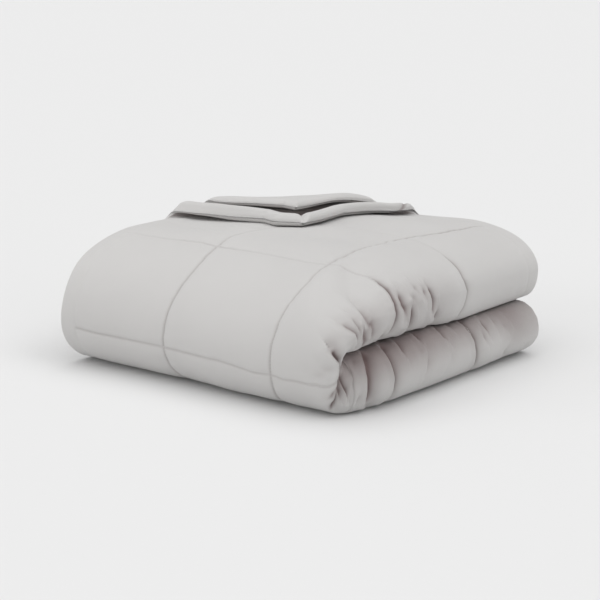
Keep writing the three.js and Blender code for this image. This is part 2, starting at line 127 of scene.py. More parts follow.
# Turned corner. Two layers turn over together. The upper one reaches further and ends up
# below; the under one turns about it and lies on it, set back behind its edge
CORNER_LEG = 272.0
CORNER_SPAN = 400.0
UNDER_IN = 22.0
UNDER_IN_ACROSS = (250.0, 420.0)
UNDER_IN_ALONG = (300.0, 600.0)
UNDER_IN_FADE = (400.0, 332.0)
CORNER_BEND = 7.2
CORNER_DROP = 13.4
UNDER_BEND_LENGTH = 46.0
UNDER_REACH = (60.0, 74.0)
UNDER_RIGHT_SLIP = 0.25

# How the turned layers swell, settle and rise, by distance past the bend, from the hems
# and from the diagonal
SETTLING = (10.0, 90.0)
SWELL = 0.3
UNDER_SWELL = 0.08
SETTLED = -0.4
UNDER_SETTLED = -0.5
FULL_MIDDLE = 1.5
FULL_LEFT = 3.0
FULL_LEFT_FROM = (-25.0, -125.0)
FULL_RIGHT = 1.5
FULL_RIGHT_FROM = (25.0, 120.0)
HEM_TUBE_OUT = (0.0, 12.0)
HEM_TUBE_IN = (42.0, 16.0)
HEM_TUBE_RISE = 1.65
UNDER_TUBE_RISE = 2.0
UNDER_LIFT = 4.5
UNDER_LIFT_HEM = (75.0, 20.0)
UNDER_LIFT_MIDDLE = (120.0, 50.0)
UNDER_DROOP = (-6.0, 9.5)
UNDER_DROOP_FROM = (50.0, 150.0)
END_LIFT = 4.0
END_LIFT_RISE = (80.0, 126.0)
END_LIFT_FALL = (135.0, 160.0)
END_LIFT_LOST = 0.4
END_LIFT_HEM = (60.0, 10.0)

# How far the turned corner's ends slide: along -Y by place in X, along X by place in Y
LEFT_SLIP = (
    (-290, 42), (-240, 50), (-202, 52), (-142, 32), (-90, 18), (-61, 26), (-40, 18), (-15, 8), (20, 0),
)
RIGHT_SLIP = ((60, 0), (118, -6), (150, 4), (181, 18), (205, 34), (240, 38), (290, 32))
RIGHT_GATHER = 22.0
RIGHT_GATHER_FROM = (110.0, 250.0)
LEFT_SLIP_NEAR = (-150.0, 10.0)
LEFT_SLIP_FAR = (190.0, 80.0)
RIGHT_SLIP_ROLLS = (150.0, 0.0)
RIGHT_SLIP_HEMS = (-170.0, -60.0)
SLIPPING_HEIGHT = (140.0, 195.0)

# A sharp fold across the turned corner's right end, by place along the diagonal
RIGHT_TUCK = 147.0

# From the sizes above to the middle of the solid's footprint
SHIFT = np.array([-4.1746, 1.0232, 0.0])


def smooth(start, end, value):
    """Nothing at the start, one at the end, and level at both."""
    s = np.clip((np.asarray(value, float) - start) / (end - start), 0, 1)
    return s * s * (3 - 2 * s)


def between(rows, at):
    """Straight lines through rows of (place, value)."""
    return np.interp(at, [row[0] for row in rows], [row[1] for row in rows])


def along(table, column, v):
    """A smooth curve through one column of a table, along its column v."""
    xs = table["v"]
    ys = table[column]
    at = np.clip(np.asarray(v, float), xs[0], xs[-1])
    i = np.clip(np.searchsorted(xs, at, side="right") - 1, 0, len(xs) - 2)
    slope = np.zeros_like(ys)
    slope[1:-1] = (ys[2:] - ys[:-2]) / (xs[2:] - xs[:-2])
    slope[0] = (ys[1] - ys[0]) / (xs[1] - xs[0])
    slope[-1] = (ys[-1] - ys[-2]) / (xs[-1] - xs[-2])
    span = xs[i + 1] - xs[i]
    s = (at - xs[i]) / span
    ends = ys[i] * (1 + 2 * s) * (1 - s) ** 2 + ys[i + 1] * s * s * (3 - 2 * s)
    return ends + span * (slope[i] * s * (1 - s) ** 2 + slope[i + 1] * s * s * (s - 1))


def quarter_arc(a, b):
    """A quarter of the way round an ellipse with half axes a and b."""
    h = ((a - b) / (a + b)) ** 2
    return np.pi / 4 * (a + b) * (1 + 3 * h / (10 + np.sqrt(4 - 3 * h)))


def ease(share, slow):
    """A share from nothing to one that starts slow and ends fast."""
    return share - slow * share * (1 - share)


def fold_in_half(v, skin):
    """Where a place along V lies once halved, and its height over the doubled layers' middle."""
    start = HALF_ALONG - MIDDLE_BEND
    angle = np.clip((v - start) / (2 * MIDDLE_BEND), 0, 1) * np.pi
    reach = PITCH / 2 + skin
    bent = start + reach * np.sin(angle)
    halved = np.where(v < start, v, np.where(v > CLOTH_ALONG - start, CLOTH_ALONG - v, bent))
    return halved, reach * np.cos(angle)


def fold_in_quarter(u, offset, v):
    """X, and the level in the half pile: out along the top and round the rolls, back below
    to the inner fold, out again, round the inner turn and back to the far hem."""
    edge = along(ROLL, "edge", v)
    rise = along(ROLL, "rise", v)
    mid = along(ROLL, "mid", v)
    tuck = along(ROLL, "tuck", v)
    core = edge - ROLL_CORE_IN
    half = HALF_PILE / 2
    turn_start = rise - TOP_HEM_X
    turn_mid = turn_start + quarter_arc(edge - rise, ROLL_ARC[0] * (HALF_PILE - mid))
    turn_end = turn_mid + quarter_arc(edge - tuck, ROLL_ARC[1] * mid)

    def turn(angle, level):
        upper = angle <= np.pi / 2
        s = np.sin(angle)
        c = np.cos(angle)
        x = np.where(upper, rise + (edge - rise) * s, tuck + (edge - tuck) * s)
        n = np.where(upper, mid + (HALF_PILE - mid) * c, mid + mid * c)
        return core + level / half * (x - core), half + level / half * (n - half)

    outer = 3 * PITCH + offset
    inner = PITCH - offset
    first = ease(np.clip((u - turn_start) / (turn_mid - turn_start), 0, 1), ROLL_EASE)
    second = np.clip((u - turn_mid) / (turn_end - turn_mid), 0, 1)
    x_turn, n_turn = turn((first + second) * np.pi / 2, outer)
    flat = np.zeros_like(outer + u)
    x_top = TOP_HEM_X + (turn(flat, outer)[0] - TOP_HEM_X) * u / turn_start
    x_low = turn(flat + np.pi, outer)[0]
    back = (u - turn_end) / (INNER_FOLD[0] - turn_end)
    x_back = x_low + (INNER_FOLD_X - x_low) * back
    angle = np.clip((u - INNER_FOLD[0]) / (INNER_FOLD[1] - INNER_FOLD[0]), 0, 1) * np.pi
    reach = PITCH + offset
    x_fold = INNER_FOLD_X - reach * np.sin(angle)
    n_fold = 2 * PITCH - reach * np.cos(angle)
    out = (u - INNER_FOLD[1]) / (INNER_TURN[0] - INNER_FOLD[1])
    x_out = INNER_FOLD_X + (turn(flat + np.pi, inner)[0] - INNER_FOLD_X) * out
    share = np.clip((u - INNER_TURN[0]) / (INNER_TURN[1] - INNER_TURN[0]), 0, 1)
    x_inner, n_inner = turn(np.pi * (1 - share), inner)
    x_hem = turn(flat, inner)[0]
    to_hem = (u - INNER_TURN[1]) / (CLOTH_ACROSS - INNER_TURN[1])
    x_last = x_hem + (INNER_HEM_X - x_hem) * to_hem
    runs = [
        u < turn_start,
        u <= turn_end,
        u < INNER_FOLD[0],
        u <= INNER_FOLD[1],
        u < INNER_TURN[0],
        u <= INNER_TURN[1],
    ]
    x = np.select(runs, [x_top, x_turn, x_back, x_fold, x_out, x_inner], x_last)
    levels = [7 * PITCH + offset, n_turn, PITCH - offset, n_fold, 3 * PITCH + offset, n_inner]
    return x, np.select(runs, levels, 5 * PITCH - offset)


def spine_value(values, hems, rolls):
    """A spine's value from the middle towards the hems' side and the rolls' side."""
    return values[0] + values[1] * hems + values[2] * rolls


def top_height(x, y):
    """The height of the pile's top, which sinks a little towards its sides."""
    hems = smooth(*HEM_BLEND, x)
    rolls = smooth(*ROLL_BLEND, x)
    far = SINK_FAR * np.clip((y - SINK_FAR_FROM) / SINK_RUN, 0, 1.2) ** 2
    near = SINK_NEAR * rolls * np.clip((SINK_NEAR_FROM - y) / SINK_RUN, 0, 1.1) ** 2
    lip = SINK_LIP * smooth(SINK_LIP_FROM, TOP_HEM_X, x)
    dent = SINK_CORNER * smooth(*SINK_CORNER_X, x) * smooth(*SINK_CORNER_Y, y)
    return TOP_HEIGHT - SINK_AT_HEMS * hems - far - near - lip - dent


def fold_at_spine(v, n, x):
    """Y and Z: in along the top, round the spine, and out again along the floor."""
    hems = smooth(*HEM_BLEND, x)
    rolls = smooth(*ROLL_BLEND, x)
    start = spine_value(SPINE_START, hems, rolls)
    edge = spine_value(SPINE_EDGE, hems, rolls)
    core_y = spine_value(SPINE_CORE_Y, hems, rolls)
    core_z = spine_value(SPINE_CORE_Z, hems, rolls)
    top = top_height(x, start)
    turn_start = TOP_HEM_Y - start
    upper_arc = quarter_arc(start - edge, top - core_z) * spine_value(SPINE_ARC, hems, rolls)
    turn_mid = turn_start + upper_arc
    turn_end = turn_mid + quarter_arc(SPINE_FOOT - edge, core_z)
    share = n / HALF_PILE
    first = np.clip((v - turn_start) / (turn_mid - turn_start), 0, 1)
    second = np.clip((v - turn_mid) / (turn_end - turn_mid), 0, 1)
    eased = ease(first, spine_value(SPINE_EASE, hems, rolls))
    angle = np.where(v < turn_mid, eased, 1 + second) * np.pi / 2
    s = np.sin(angle)
    c = np.cos(angle)
    upper = angle <= np.pi / 2
    y_outer = np.where(upper, start + (edge - start) * s, SPINE_FOOT + (edge - SPINE_FOOT) * s)
    z_outer = np.where(upper, core_z + (top - core_z) * c, core_z + core_z * c)
    y_turn = core_y + share * (y_outer - core_y)
    z_turn = core_z + share * (z_outer - core_z)
    run = np.clip(v / turn_start, 0, 1)
    y_end = core_y + share * (start - core_y)
    y_top = TOP_HEM_Y + (start - TOP_HEM_Y) * run + (y_end - start) * run ** SPINE_START_EASE
    y_floor = np.where(v > turn_end, along(FLOOR, "y", v), SPINE_FOOT)
    y_floor = SPINE_FOOT + (y_floor - SPINE_FOOT) * smooth(turn_end, turn_end + FOOT_BLEND[0], v)
    foot = share * (SPINE_FOOT - core_y) + core_y - SPINE_FOOT
    y_floor = y_floor + foot * (1 - smooth(turn_end, turn_end + FOOT_BLEND[1], v))
    middle_top = core_z + (GROOVE_HEIGHT - core_z) * smooth(*GROOVE_BLEND, y_top)
    middle_low = core_z + (GROOVE_HEIGHT - core_z) * smooth(*GROOVE_BLEND, y_floor)
    z_top = middle_top + share * (top_height(x, y_top) - middle_top)
    z_low = middle_low * (OUTERMOST - share)
    y = np.where(v < turn_start, y_top, np.where(v <= turn_end, y_turn, y_floor))
    z = np.where(v < turn_start, z_top, np.where(v <= turn_end, z_turn, z_low))
    return y, z


def folded_point(u, v, skin):
    """The folded sheet before its corner is turned down."""
    halved, offset = fold_in_half(v, skin)
    x, n = fold_in_quarter(u, offset, halved)
    y, z = fold_at_spine(halved, n, x)
    under = v > HALF_ALONG
    from_hem = CLOTH_ALONG - v
    inward = UNDER_IN * (1 - smooth(*UNDER_IN_ACROSS, u)) * (1 - smooth(*UNDER_IN_ALONG, from_hem)) * under
    x = x + inward * np.clip(1 - u / UNDER_IN_FADE[0], 0, 1)
    y = y - inward * np.clip(1 - from_hem / UNDER_IN_FADE[1], 0, 1)
    return x, y, z


def corner_fullness(u, from_hem):
    """How much the turned hem swells, by place along the diagonal."""
    along_fold = (u - from_hem) / math.sqrt(2)
    left = FULL_LEFT * smooth(*FULL_LEFT_FROM, along_fold)
    return FULL_MIDDLE + left + FULL_RIGHT * smooth(*FULL_RIGHT_FROM, along_fold)


def hem_tube(u, from_hem):
    """One along the middle of the stuffed edge outside the hem's stitching."""
    nearest = np.minimum(u, from_hem)
    return smooth(*HEM_TUBE_OUT, nearest) * smooth(*HEM_TUBE_IN, nearest)


def upper_rise(u, from_hem):
    """How far the upper turned layer rises along its hems, most at its left end."""
    leftward = (from_hem - u) / math.sqrt(2)
    ends = smooth(*END_LIFT_RISE, leftward) * (1 - END_LIFT_LOST * smooth(*END_LIFT_FALL, leftward))
    ends = ends * smooth(*END_LIFT_HEM, np.minimum(u, from_hem))
    return HEM_TUBE_RISE * corner_fullness(u, from_hem) * hem_tube(u, from_hem) + END_LIFT * ends


def under_rise(u, from_hem):
    """How far the under layer rises behind the upper one, and droops at its right end."""
    outward = np.abs(u - from_hem) / math.sqrt(2)
    droop = np.where(u > from_hem, UNDER_DROOP[1], UNDER_DROOP[0]) * smooth(*UNDER_DROOP_FROM, outward)
    raised = UNDER_LIFT * smooth(*UNDER_LIFT_HEM, np.minimum(u, from_hem))
    raised = raised * smooth(*UNDER_LIFT_MIDDLE, outward)
    return raised + UNDER_TUBE_RISE * hem_tube(u, from_hem) - droop


def slipped(x, y, z, under):
    """The turned corner's two ends have slid towards the spine and the rolls."""
    high = smooth(*SLIPPING_HEIGHT, z)
    left = between(LEFT_SLIP, x) * smooth(*LEFT_SLIP_NEAR, y) * smooth(*LEFT_SLIP_FAR, y) * high
    at_right = smooth(*RIGHT_SLIP_ROLLS, x) * smooth(*RIGHT_SLIP_HEMS, x) * high
    right = between(RIGHT_SLIP, y) * at_right
    gathered = RIGHT_GATHER * smooth(*RIGHT_GATHER_FROM, y) * at_right
    share = np.where(under, UNDER_RIGHT_SLIP, 1)
    return np.stack([x + right * share, y - left - gathered * share, z], -1)


def blanket_point(u, v, skin):
    """A point of the sheet in millimetres: beyond the corner's diagonal it bends over."""
    under = v > HALF_ALONG
    leg = np.where(under, CORNER_LEG - 2 * UNDER_IN, CORNER_LEG)
    from_hem = np.where(under, CLOTH_ALONG - v, v)
    beyond = (leg - u - from_hem) / math.sqrt(2)
    on = (beyond > 0) & (u < CORNER_SPAN)
    beyond = np.where(on, beyond, 0.0)
    back = beyond / math.sqrt(2)
    x, y, z = folded_point(u + back, np.where(under, v - back, v + back), skin)
    bend = np.where(under, CORNER_BEND + CORNER_DROP, CORNER_BEND)
    side = np.where(under, 1.0, -1.0)
    bend_length = np.where(under, UNDER_BEND_LENGTH, np.pi * CORNER_BEND)
    angle = np.clip(beyond / bend_length, 0, 1) * np.pi
    past = np.maximum(beyond - bend_length, 0)
    blunt = UNDER_REACH[0] + UNDER_REACH[1] * np.tanh((past - UNDER_REACH[0]) / UNDER_REACH[1])
    kept = np.where(under & (past > UNDER_REACH[0]), blunt, past)
    settled = smooth(*SETTLING, past)
    swell = np.where(under, UNDER_SWELL, SWELL)
    reach = bend + side * skin * (1 + swell * settled)
    outward = (reach * np.sin(angle) - kept) / math.sqrt(2)
    px = x - outward
    py = y + outward
    turned = 1 - np.cos(angle)
    raised = np.where(under, under_rise(u, from_hem), upper_rise(u, from_hem))
    lift = np.where(under, UNDER_SETTLED, SETTLED) * settled + raised * angle / np.pi
    pz = z + reach * turned + (top_height(px, py) - top_height(x, y)) * turned / 2 + lift
    return slipped(np.where(on, px, x), np.where(on, py, y), np.where(on, pz, z), under)


# Drift of the sewn lines, by number from the hem: rows of a place along the line and how
# far aside it lies there

ACROSS_DRIFT = {
    1: ((0, 8), (288, 8), (364, -5), (406, -1), (466, 8), (553, 5), (610, 4), (680, 12), (1219, 6)),
    2: ((0, 17), (140, 13), (217, -2), (306, -3), (397, 4), (470, 16), (523, 9), (612, 6), (680, 0)),
    3: ((0, 0), (620, 0), (720, 26), (1000, 30), (1219, 42)),
}
ALONG_DRIFT = {
    1: (
        (0, 8), (414, 14), (496, 15), (522, 13), (541, 14), (567, 9), (578, 12), (592, 18),
        (613, 24), (640, 28),
    ),
    2: (
        (69, 20), (138, 8), (207, 0), (470, 0), (498, -10), (530, -11), (558, -9), (586, -11),
        (603, -9), (640, 0),
    ),
    3: (
        (46, -10), (129, -5), (211, 0), (320, 1), (418, 10), (441, 16), (474, 13), (507, 7),
        (535, 13), (600, 6),
    ),
    4: ((539, -14), (560, -9), (587, -7), (613, -8), (636, -6), (657, 6)),
    5: ((537, 19), (556, 15), (574, 10), (600, 7), (624, 0), (642, 2), (658, 14)),
}

# Where the drift ends: at the fold along V, past the rolls, and towards the hems
DRIFT_ENDS_ALONG = (HALF_ALONG - 60, HALF_ALONG - 160)
DRIFT_ENDS_ACROSS = (900.0, 700.0)
DRIFT_ENDS_HEM = (0.0, 30.0)
ACROSS_DRIFT_WIDTH = 0.8 * BOX_ACROSS
ALONG_DRIFT_WIDTH = 0.5 * BOX_ALONG

# How tight each sewn line is, along it: a slack one hardly shows
ACROSS_TIGHT = {
    1: ((0, 0.2), (330, 0.3), (400, 0.8), (450, 1)),
    2: ((0, 0.3), (60, 0.5), (85, 0.9), (150, 1)),
    3: ((0, 0), (1219, 0)),
}
ALONG_TIGHT = {
    1: ((0, 0.1), (410, 0.15), (470, 0.3), (520, 0.8), (550, 1)),
    2: ((0, 0.1), (90, 0.3), (170, 0.5), (208, 0.7), (290, 0.35), (410, 0.35), (490, 0.5), (525, 1)),
    3: ((0, 0.75), (200, 0.7), (415, 0.65), (540, 0.8)),
}


def tent(distance, width):
    """One at a line and nothing a width away, with a soft foot."""
    return smooth(width, 0, np.abs(distance))


def drifted(u, v):
    """Where a place of the sheet lies once the sewn lines have moved sideways."""
    front = smooth(*DRIFT_ENDS_ALONG, v) * smooth(*DRIFT_ENDS_ACROSS, u)
    front = front * smooth(*DRIFT_ENDS_HEM, u) * smooth(*DRIFT_ENDS_HEM, v)
    du = 0
    for k, rows in ACROSS_DRIFT.items():
        du = du + between(rows, v) * tent(u - BOX_ACROSS * k, ACROSS_DRIFT_WIDTH)
    dv = 0
    for k, rows in ALONG_DRIFT.items():
        dv = dv + between(rows, u) * tent(v - BOX_ALONG * k, ALONG_DRIFT_WIDTH)
    return u + du * front, v + dv * front


# Creases pressed into the outer face. Each row has a path over the cloth as places (U, V),
# how deep the crease is, how wide it is on its steep side and on its slow side, and how
# high the fold beside it stands

CREASES = (
    # The edge of the spine's lobe, where the lower roll tucks in behind it
    (((536, 561), (550, 570), (566, 582), (569, 600), (566, 618), (558, 632), (549, 642)), 11, 4, 14, 2.5),
    (((552, 638), (542, 648), (528, 658)), 4.5, 3.5, 9, 1.2),
    # Upper roll, from the far end to the near corner
    (((583, 291), (595, 290), (605, 291), (614, 292)), 5.4, 4, 8, 1.6),
    (((544, 314), (558, 312), (574, 309), (583, 308), (591, 302)), 7.5, 3, 7, 2.4),
    (((543, 327), (559, 328), (567, 327)), 4.4, 3.4, 7, 1.4),
    (((533, 345), (545, 344), (553, 341)), 4.0, 4, 8, 1.2),
    (((546, 359), (563, 354), (572, 350)), 3.0, 5, 8, 1.0),
    (((570, 362), (583, 361), (595, 358), (607, 356), (621, 355)), 8.6, 3, 8, 2.8),
    (((536, 381), (551, 382), (565, 381), (587, 373)), 6.2, 4, 8, 2.6),
    (((599, 411), (611, 411), (622, 412)), 3.4, 2.4, 5, 1.2),
    (((556, 441), (570, 442), (587, 436), (610, 428)), 3.5, 3.4, 9, 1.4),
    (((520, 458), (534, 455), (547, 452), (562, 449), (584, 442)), 4.2, 4.2, 10, 1.6),
    (((566, 462), (583, 454), (600, 446), (622, 436)), 5.0, 3.0, 9, 2.0),
    (((532, 485), (551, 483), (567, 478), (583, 465)), 3.6, 4.6, 10, 1.3),
    (((528, 510), (544, 507), (558, 502), (577, 490), (594, 470)), 4.6, 4.6, 10, 1.6),
    # Lower roll, from the near corner to the far end
    (((575, 628), (571, 655), (566, 676), (556, 686)), 6.0, 3, 8, 2.4),
    (((559, 636), (556, 654), (550, 664)), 4.5, 3, 6, 1.6),
    (((629, 744), (620, 741), (608, 734)), 3.2, 3, 6, 1.2),
    (((573, 736), (558, 727), (543, 723)), 2.4, 3, 7, 0.8),
    (((648, 769), (621, 758), (600, 752), (579, 749), (562, 748), (546, 750)), 9.5, 3.2, 11, 3.0),
    (((657, 848), (636, 843), (625, 841), (616, 842)), 5.6, 3, 8, 1.8),
    (((624, 875), (615, 877), (607, 879)), 2.4, 4, 8, 0.8),
    (((577, 873), (562, 872)), 2.0, 4, 8, 0.6),
    (((658, 894), (644, 891), (632, 890), (625, 890)), 5.0, 3.2, 8, 1.4),
    (((609, 894), (598, 892), (588, 890), (575, 886)), 3.0, 4, 9, 1.2),
    (((658, 956), (637, 946), (623, 946), (613, 951)), 4.6, 3.2, 8, 1.4),
    (((599, 953), (586, 951), (579, 944)), 1.8, 5, 9, 0.8),
    (((660, 990), (642, 984), (630, 982)), 3.4, 3.4, 8, 1.0),
    (((610, 1047), (599, 1049), (589, 1054)), 3.4, 3, 7, 1.2),
    (((633, 1062), (620, 1059), (610, 1063), (599, 1065)), 4.8, 3, 8, 1.6),
    (((629, 1090), (617, 1090), (607, 1090)), 2.8, 3.4, 7, 0.8),
    (((610, 1108), (597, 1114)), 2.8, 3.4, 7, 0.8),
    (((573, 1122), (558, 1114), (537, 1127)), 2.2, 4, 8, 0.8),
    (((622, 1127), (609, 1130)), 2.6, 3.4, 7, 0.8),
    (((617, 725), (601, 721), (587, 716), (570, 697)), 3.0, 3, 8, 1.2),
    # Small pulls on the lobe, across the seam that ends at the pinch
    (((524, 641), (538, 637), (550, 631)), 3.6, 2.6, 6, 1.4),
    (((510, 668), (530, 656), (545, 643)), 4.0, 2.6, 6, 1.6),
    (((517, 586), (530, 594), (546, 597), (556, 598)), 2.0, 4, 8, 0.6),
    (((500, 604), (516, 603), (536, 604)), 1.8, 4, 8, 0.5),
    # Sewn lines pulled in where they go round the rolls
    (((496, 218), (522, 216), (541, 217), (567, 212), (578, 215), (592, 221), (613, 227)), 3.0, 2.2, 6, 1.6),
    (((498, 396), (530, 395), (558, 397), (586, 395), (603, 397), (622, 402)), 4.8, 2.2, 6, 2.2),
    (((657, 819), (636, 807), (613, 805), (587, 806), (560, 804), (541, 799)), 9.0, 3.0, 9, 3.6),
    (
        ((658, 1030), (642, 1018), (624, 1016), (600, 1023), (574, 1026), (556, 1031), (537, 1035)),
        6.6, 2.4, 7, 2.4,
    ),
)

# How far round a crease the cloth is moved, and how a crease fades at its ends
CREASE_NEAR = 60.0
CREASE_FADE = (0.0, 18.0)
CREASE_AT_END = 0.2

# Where the fold beside a crease stands and how wide it is, in widths of the steep side
FOLD_AWAY = 2.6
FOLD_WIDE = 2.2

# How much painted shade a crease gets: along its bottom line, once it is steep enough, and in its trough
STEEP_FROM = 0.5
STEEP_FULL = 2.0
LINE_WIDE = 1.4
LINE_WIDER = 0.3
LINE_DARK = 0.95
TROUGH_DARK = 0.07


def beside_path(path, u, v):
    """How far places lie from a path, with the side as a sign, and from its nearer end."""
    nearest = np.full(u.shape, np.inf)
    signed = np.zeros(u.shape)
    for a, b in zip(path, path[1:]):
        run = b - a
        length = float(np.hypot(*run))
        share = np.clip(((u - a[0]) * run[0] + (v - a[1]) * run[1]) / length ** 2, 0, 1)
        off_u = u - a[0] - share * run[0]
        off_v = v - a[1] - share * run[1]
        away = np.hypot(off_u, off_v)
        side = np.sign(run[1] * off_u - run[0] * off_v)
        signed = np.where(away < nearest, away * side, signed)
        nearest = np.minimum(away, nearest)
    first = np.hypot(u - path[0, 0], v - path[0, 1])
    last = np.hypot(u - path[-1, 0], v - path[-1, 1])
    return nearest, signed, np.minimum(first, last)


def crease_relief(u, v):
    """How far creases press the face in and folds lift it, and how much painted shade each place gets."""
    total = np.zeros(np.shape(u))
    painted_shade = np.zeros(np.shape(u))
    for places, deep, steep, slow, high in CREASES:
        path = np.array(places, float)
        near = (u > path[:, 0].min() - CREASE_NEAR) & (u < path[:, 0].max() + CREASE_NEAR)
        near &= (v > path[:, 1].min() - CREASE_NEAR) & (v < path[:, 1].max() + CREASE_NEAR)
        if not near.any():
            continue
        nearest, signed, from_end = beside_path(path, u[near], v[near])
        fade = smooth(*CREASE_FADE, from_end) * (1 - CREASE_AT_END) + CREASE_AT_END
        wide = np.where(signed > 0, slow, steep)
        trough = deep * np.exp(-((nearest / wide) ** 1.25)) * fade
        ridge = high * np.exp(-(((signed + FOLD_AWAY * steep) / (FOLD_WIDE * steep)) ** 2)) * fade
        total[near] += ridge - trough
        # Painted shade along the crease's bottom line and in its trough
        sharp = np.clip((deep / steep - STEEP_FROM) / (STEEP_FULL - STEEP_FROM), 0, 1)
        line = np.exp(-((nearest / (LINE_WIDE + LINE_WIDER * deep)) ** 1.4))
        painted_shade[near] += sharp * LINE_DARK * line * fade + TROUGH_DARK * trough
    return total, painted_shade


# Relief of the outer face

# A sewn line pulls in a wide trough and a sharp line, with puckers along it
SEAM_TROUGH = 1.5
SEAM_TROUGH_WIDE = 15.0
SEAM_TROUGH_MOST = 2.0
SEAM_LINE = 1.9
SEAM_LINE_WIDE = 1.7
PUCKER = 0.5
PUCKER_WIDE = 10.0
PUCKER_WAVE = 16.0
PUCKER_STRETCH = 0.15

# The hem's band and its stitching, and the round edge of the sheet
HEM_FLATTER = 0.5
HEM_FLATTER_TO = 12.0
HEM_LINE = 0.4
HEM_LINE_WIDE = 2.2
RIM_ROUND = 7.0
RIM_LEFT = 0.06

# The filled boxes of the top layer are a little uneven
BOX_UNEVEN = 0.8
BOX_WAVE = 120.0

# Share of the creases that each face takes, outer and inner, in the two top layers, and
# how far across the sheet the creases go
TOP_CREASED = (1.0, 0.85)
UNDER_CREASED = (-0.35, -0.75)
CREASED_TO = (666.0, 640.0)
SHOWN_TO = (700.0, 670.0)
SHOWN_FOLD = 12.0

# Seams hardly show inside the pile, and show where the turned corner bares a layer
SEAM_INSIDE = 0.25
BARED = 0.9
BARED_ACROSS = (1950.0, 2050.0)
BARED_ALONG = (2090.0, 2180.0)

# Inside the turned corner's hems: the valley beside them, the mitre at the point and the
# sharp fold at the right end, each with its depth, its width and where it ends
TURNED_FROM = (0.0, 20.0)
UNDER_FULL = 2.0
VALLEY = 7.5
VALLEY_AT = 45.0
VALLEY_WIDE = 13.0
VALLEY_OUTSIDE = 0.4
MITRE = 3.4
MITRE_WIDE = 6.0
MITRE_ENDS = (56.0, 34.0)
TUCK = 3.5
TUCK_WIDE = 4.0
TUCK_ENDS = (60.0, 40.0)


def bell(distance, wide):
    """One at a line, falling to nothing a few widths away."""
    return np.exp(-((distance / wide) ** 2))


def soft_noise(u, v, wave, seed):
    """A smooth uneven field, about -1 to 1, with bumps about a wave long."""
    local = np.random.default_rng(seed)
    total = np.zeros(np.broadcast(u, v).shape)
    for _ in range(12):
        turn = local.uniform(0, 2 * np.pi)
        step = 2 * np.pi / (wave * local.uniform(0.7, 1.6))
        phase = local.uniform(0, 2 * np.pi)
        total += np.sin(step * (u * math.cos(turn) + v * math.sin(turn)) + phase)
    return total / 4.2


def from_rim(u, v):
    """How far a place is from the sheet's nearest edge."""
    return np.minimum(np.minimum(u, CLOTH_ACROSS - u), np.minimum(v, CLOTH_ALONG - v))


def inside_hem(u, v):
    """One over the sewn boxes, nothing over the hem outside them."""
    return smooth(HEM_STITCH - 2, HEM_STITCH + 3, from_rim(u, v))


def seam_distances(u, v):
    """How far the nearest sewn line is each way, and how tight it is there."""
    across = np.round(u / BOX_ACROSS)
    lengthwise = np.round(v / BOX_ALONG)
    tight_u = np.ones(np.shape(u))
    tight_v = np.ones(np.shape(u))
    for k, rows in ACROSS_TIGHT.items():
        tight_u = np.where(across == k, between(rows, v), tight_u)
    for k, rows in ALONG_TIGHT.items():
        tight_v = np.where(lengthwise == k, between(rows, u), tight_v)
    to_u = np.abs(u - BOX_ACROSS * across)
    to_v = np.abs(v - BOX_ALONG * lengthwise)
    return to_u, to_v, tight_u, tight_v


def seam_relief(u, v):
    to_u, to_v, tight_u, tight_v = seam_distances(u, v)
    trough = tight_u * bell(to_u, SEAM_TROUGH_WIDE) + tight_v * bell(to_v, SEAM_TROUGH_WIDE)
    trough = np.minimum(SEAM_TROUGH * trough, SEAM_TROUGH_MOST)
    line = np.maximum(tight_u * bell(to_u, SEAM_LINE_WIDE), tight_v * bell(to_v, SEAM_LINE_WIDE))
    puckers = tight_u * bell(to_u, PUCKER_WIDE) * soft_noise(v, u * PUCKER_STRETCH, PUCKER_WAVE, 11)
    puckers += tight_v * bell(to_v, PUCKER_WIDE) * soft_noise(u, v * PUCKER_STRETCH, PUCKER_WAVE, 12)
    return (PUCKER * puckers - trough - SEAM_LINE * line) * inside_hem(u, v)


def hem_relief(u, v):
    """The hem's band is a little flatter than the filled boxes inside it."""
    nearest = from_rim(u, v)
    flatter = HEM_FLATTER * (1 - smooth(HEM_STITCH - 1, HEM_STITCH + HEM_FLATTER_TO, nearest))
    return -flatter - HEM_LINE * bell(nearest - HEM_STITCH, HEM_LINE_WIDE)


def hem_round(u, v):
    """One inside the sheet, and falling to nearly nothing round its rim."""
    share = np.clip(from_rim(u, v) / RIM_ROUND, 0, 1)
    return np.sqrt(np.clip(1 - (1 - share) ** 2, 0, 1)) * (1 - RIM_LEFT) + RIM_LEFT


def turned_corner_skin(u, v, outer):
    """What the turned corner adds to a face: stuffed hems, with a valley inside them."""
    under = v > HALF_ALONG
    from_hem = np.where(under, CLOTH_ALONG - v, v)
    inner_edge = np.minimum(u, from_hem)
    aside = u - from_hem
    rim = hem_round(u, v)
    leg = CORNER_LEG - 2 * UNDER_IN * under
    turned = smooth(*TURNED_FROM, (leg - u - from_hem) / math.sqrt(2))
    fuller = turned * hem_tube(u, from_hem) * np.where(under, UNDER_FULL, corner_fullness(u, from_hem))
    valley = turned * VALLEY * bell(inner_edge - VALLEY_AT, VALLEY_WIDE)
    mitre = turned * MITRE * bell(aside, MITRE_WIDE) * smooth(*MITRE_ENDS, inner_edge)
    tuck = turned * TUCK * bell(aside / math.sqrt(2) - RIGHT_TUCK, TUCK_WIDE) * smooth(*TUCK_ENDS, inner_edge)
    folds = np.where(outer, VALLEY_OUTSIDE * valley, valley + (mitre + tuck) * rim)
    return np.where(outer, fuller, -fuller) * rim + np.where(under, 0, folds)


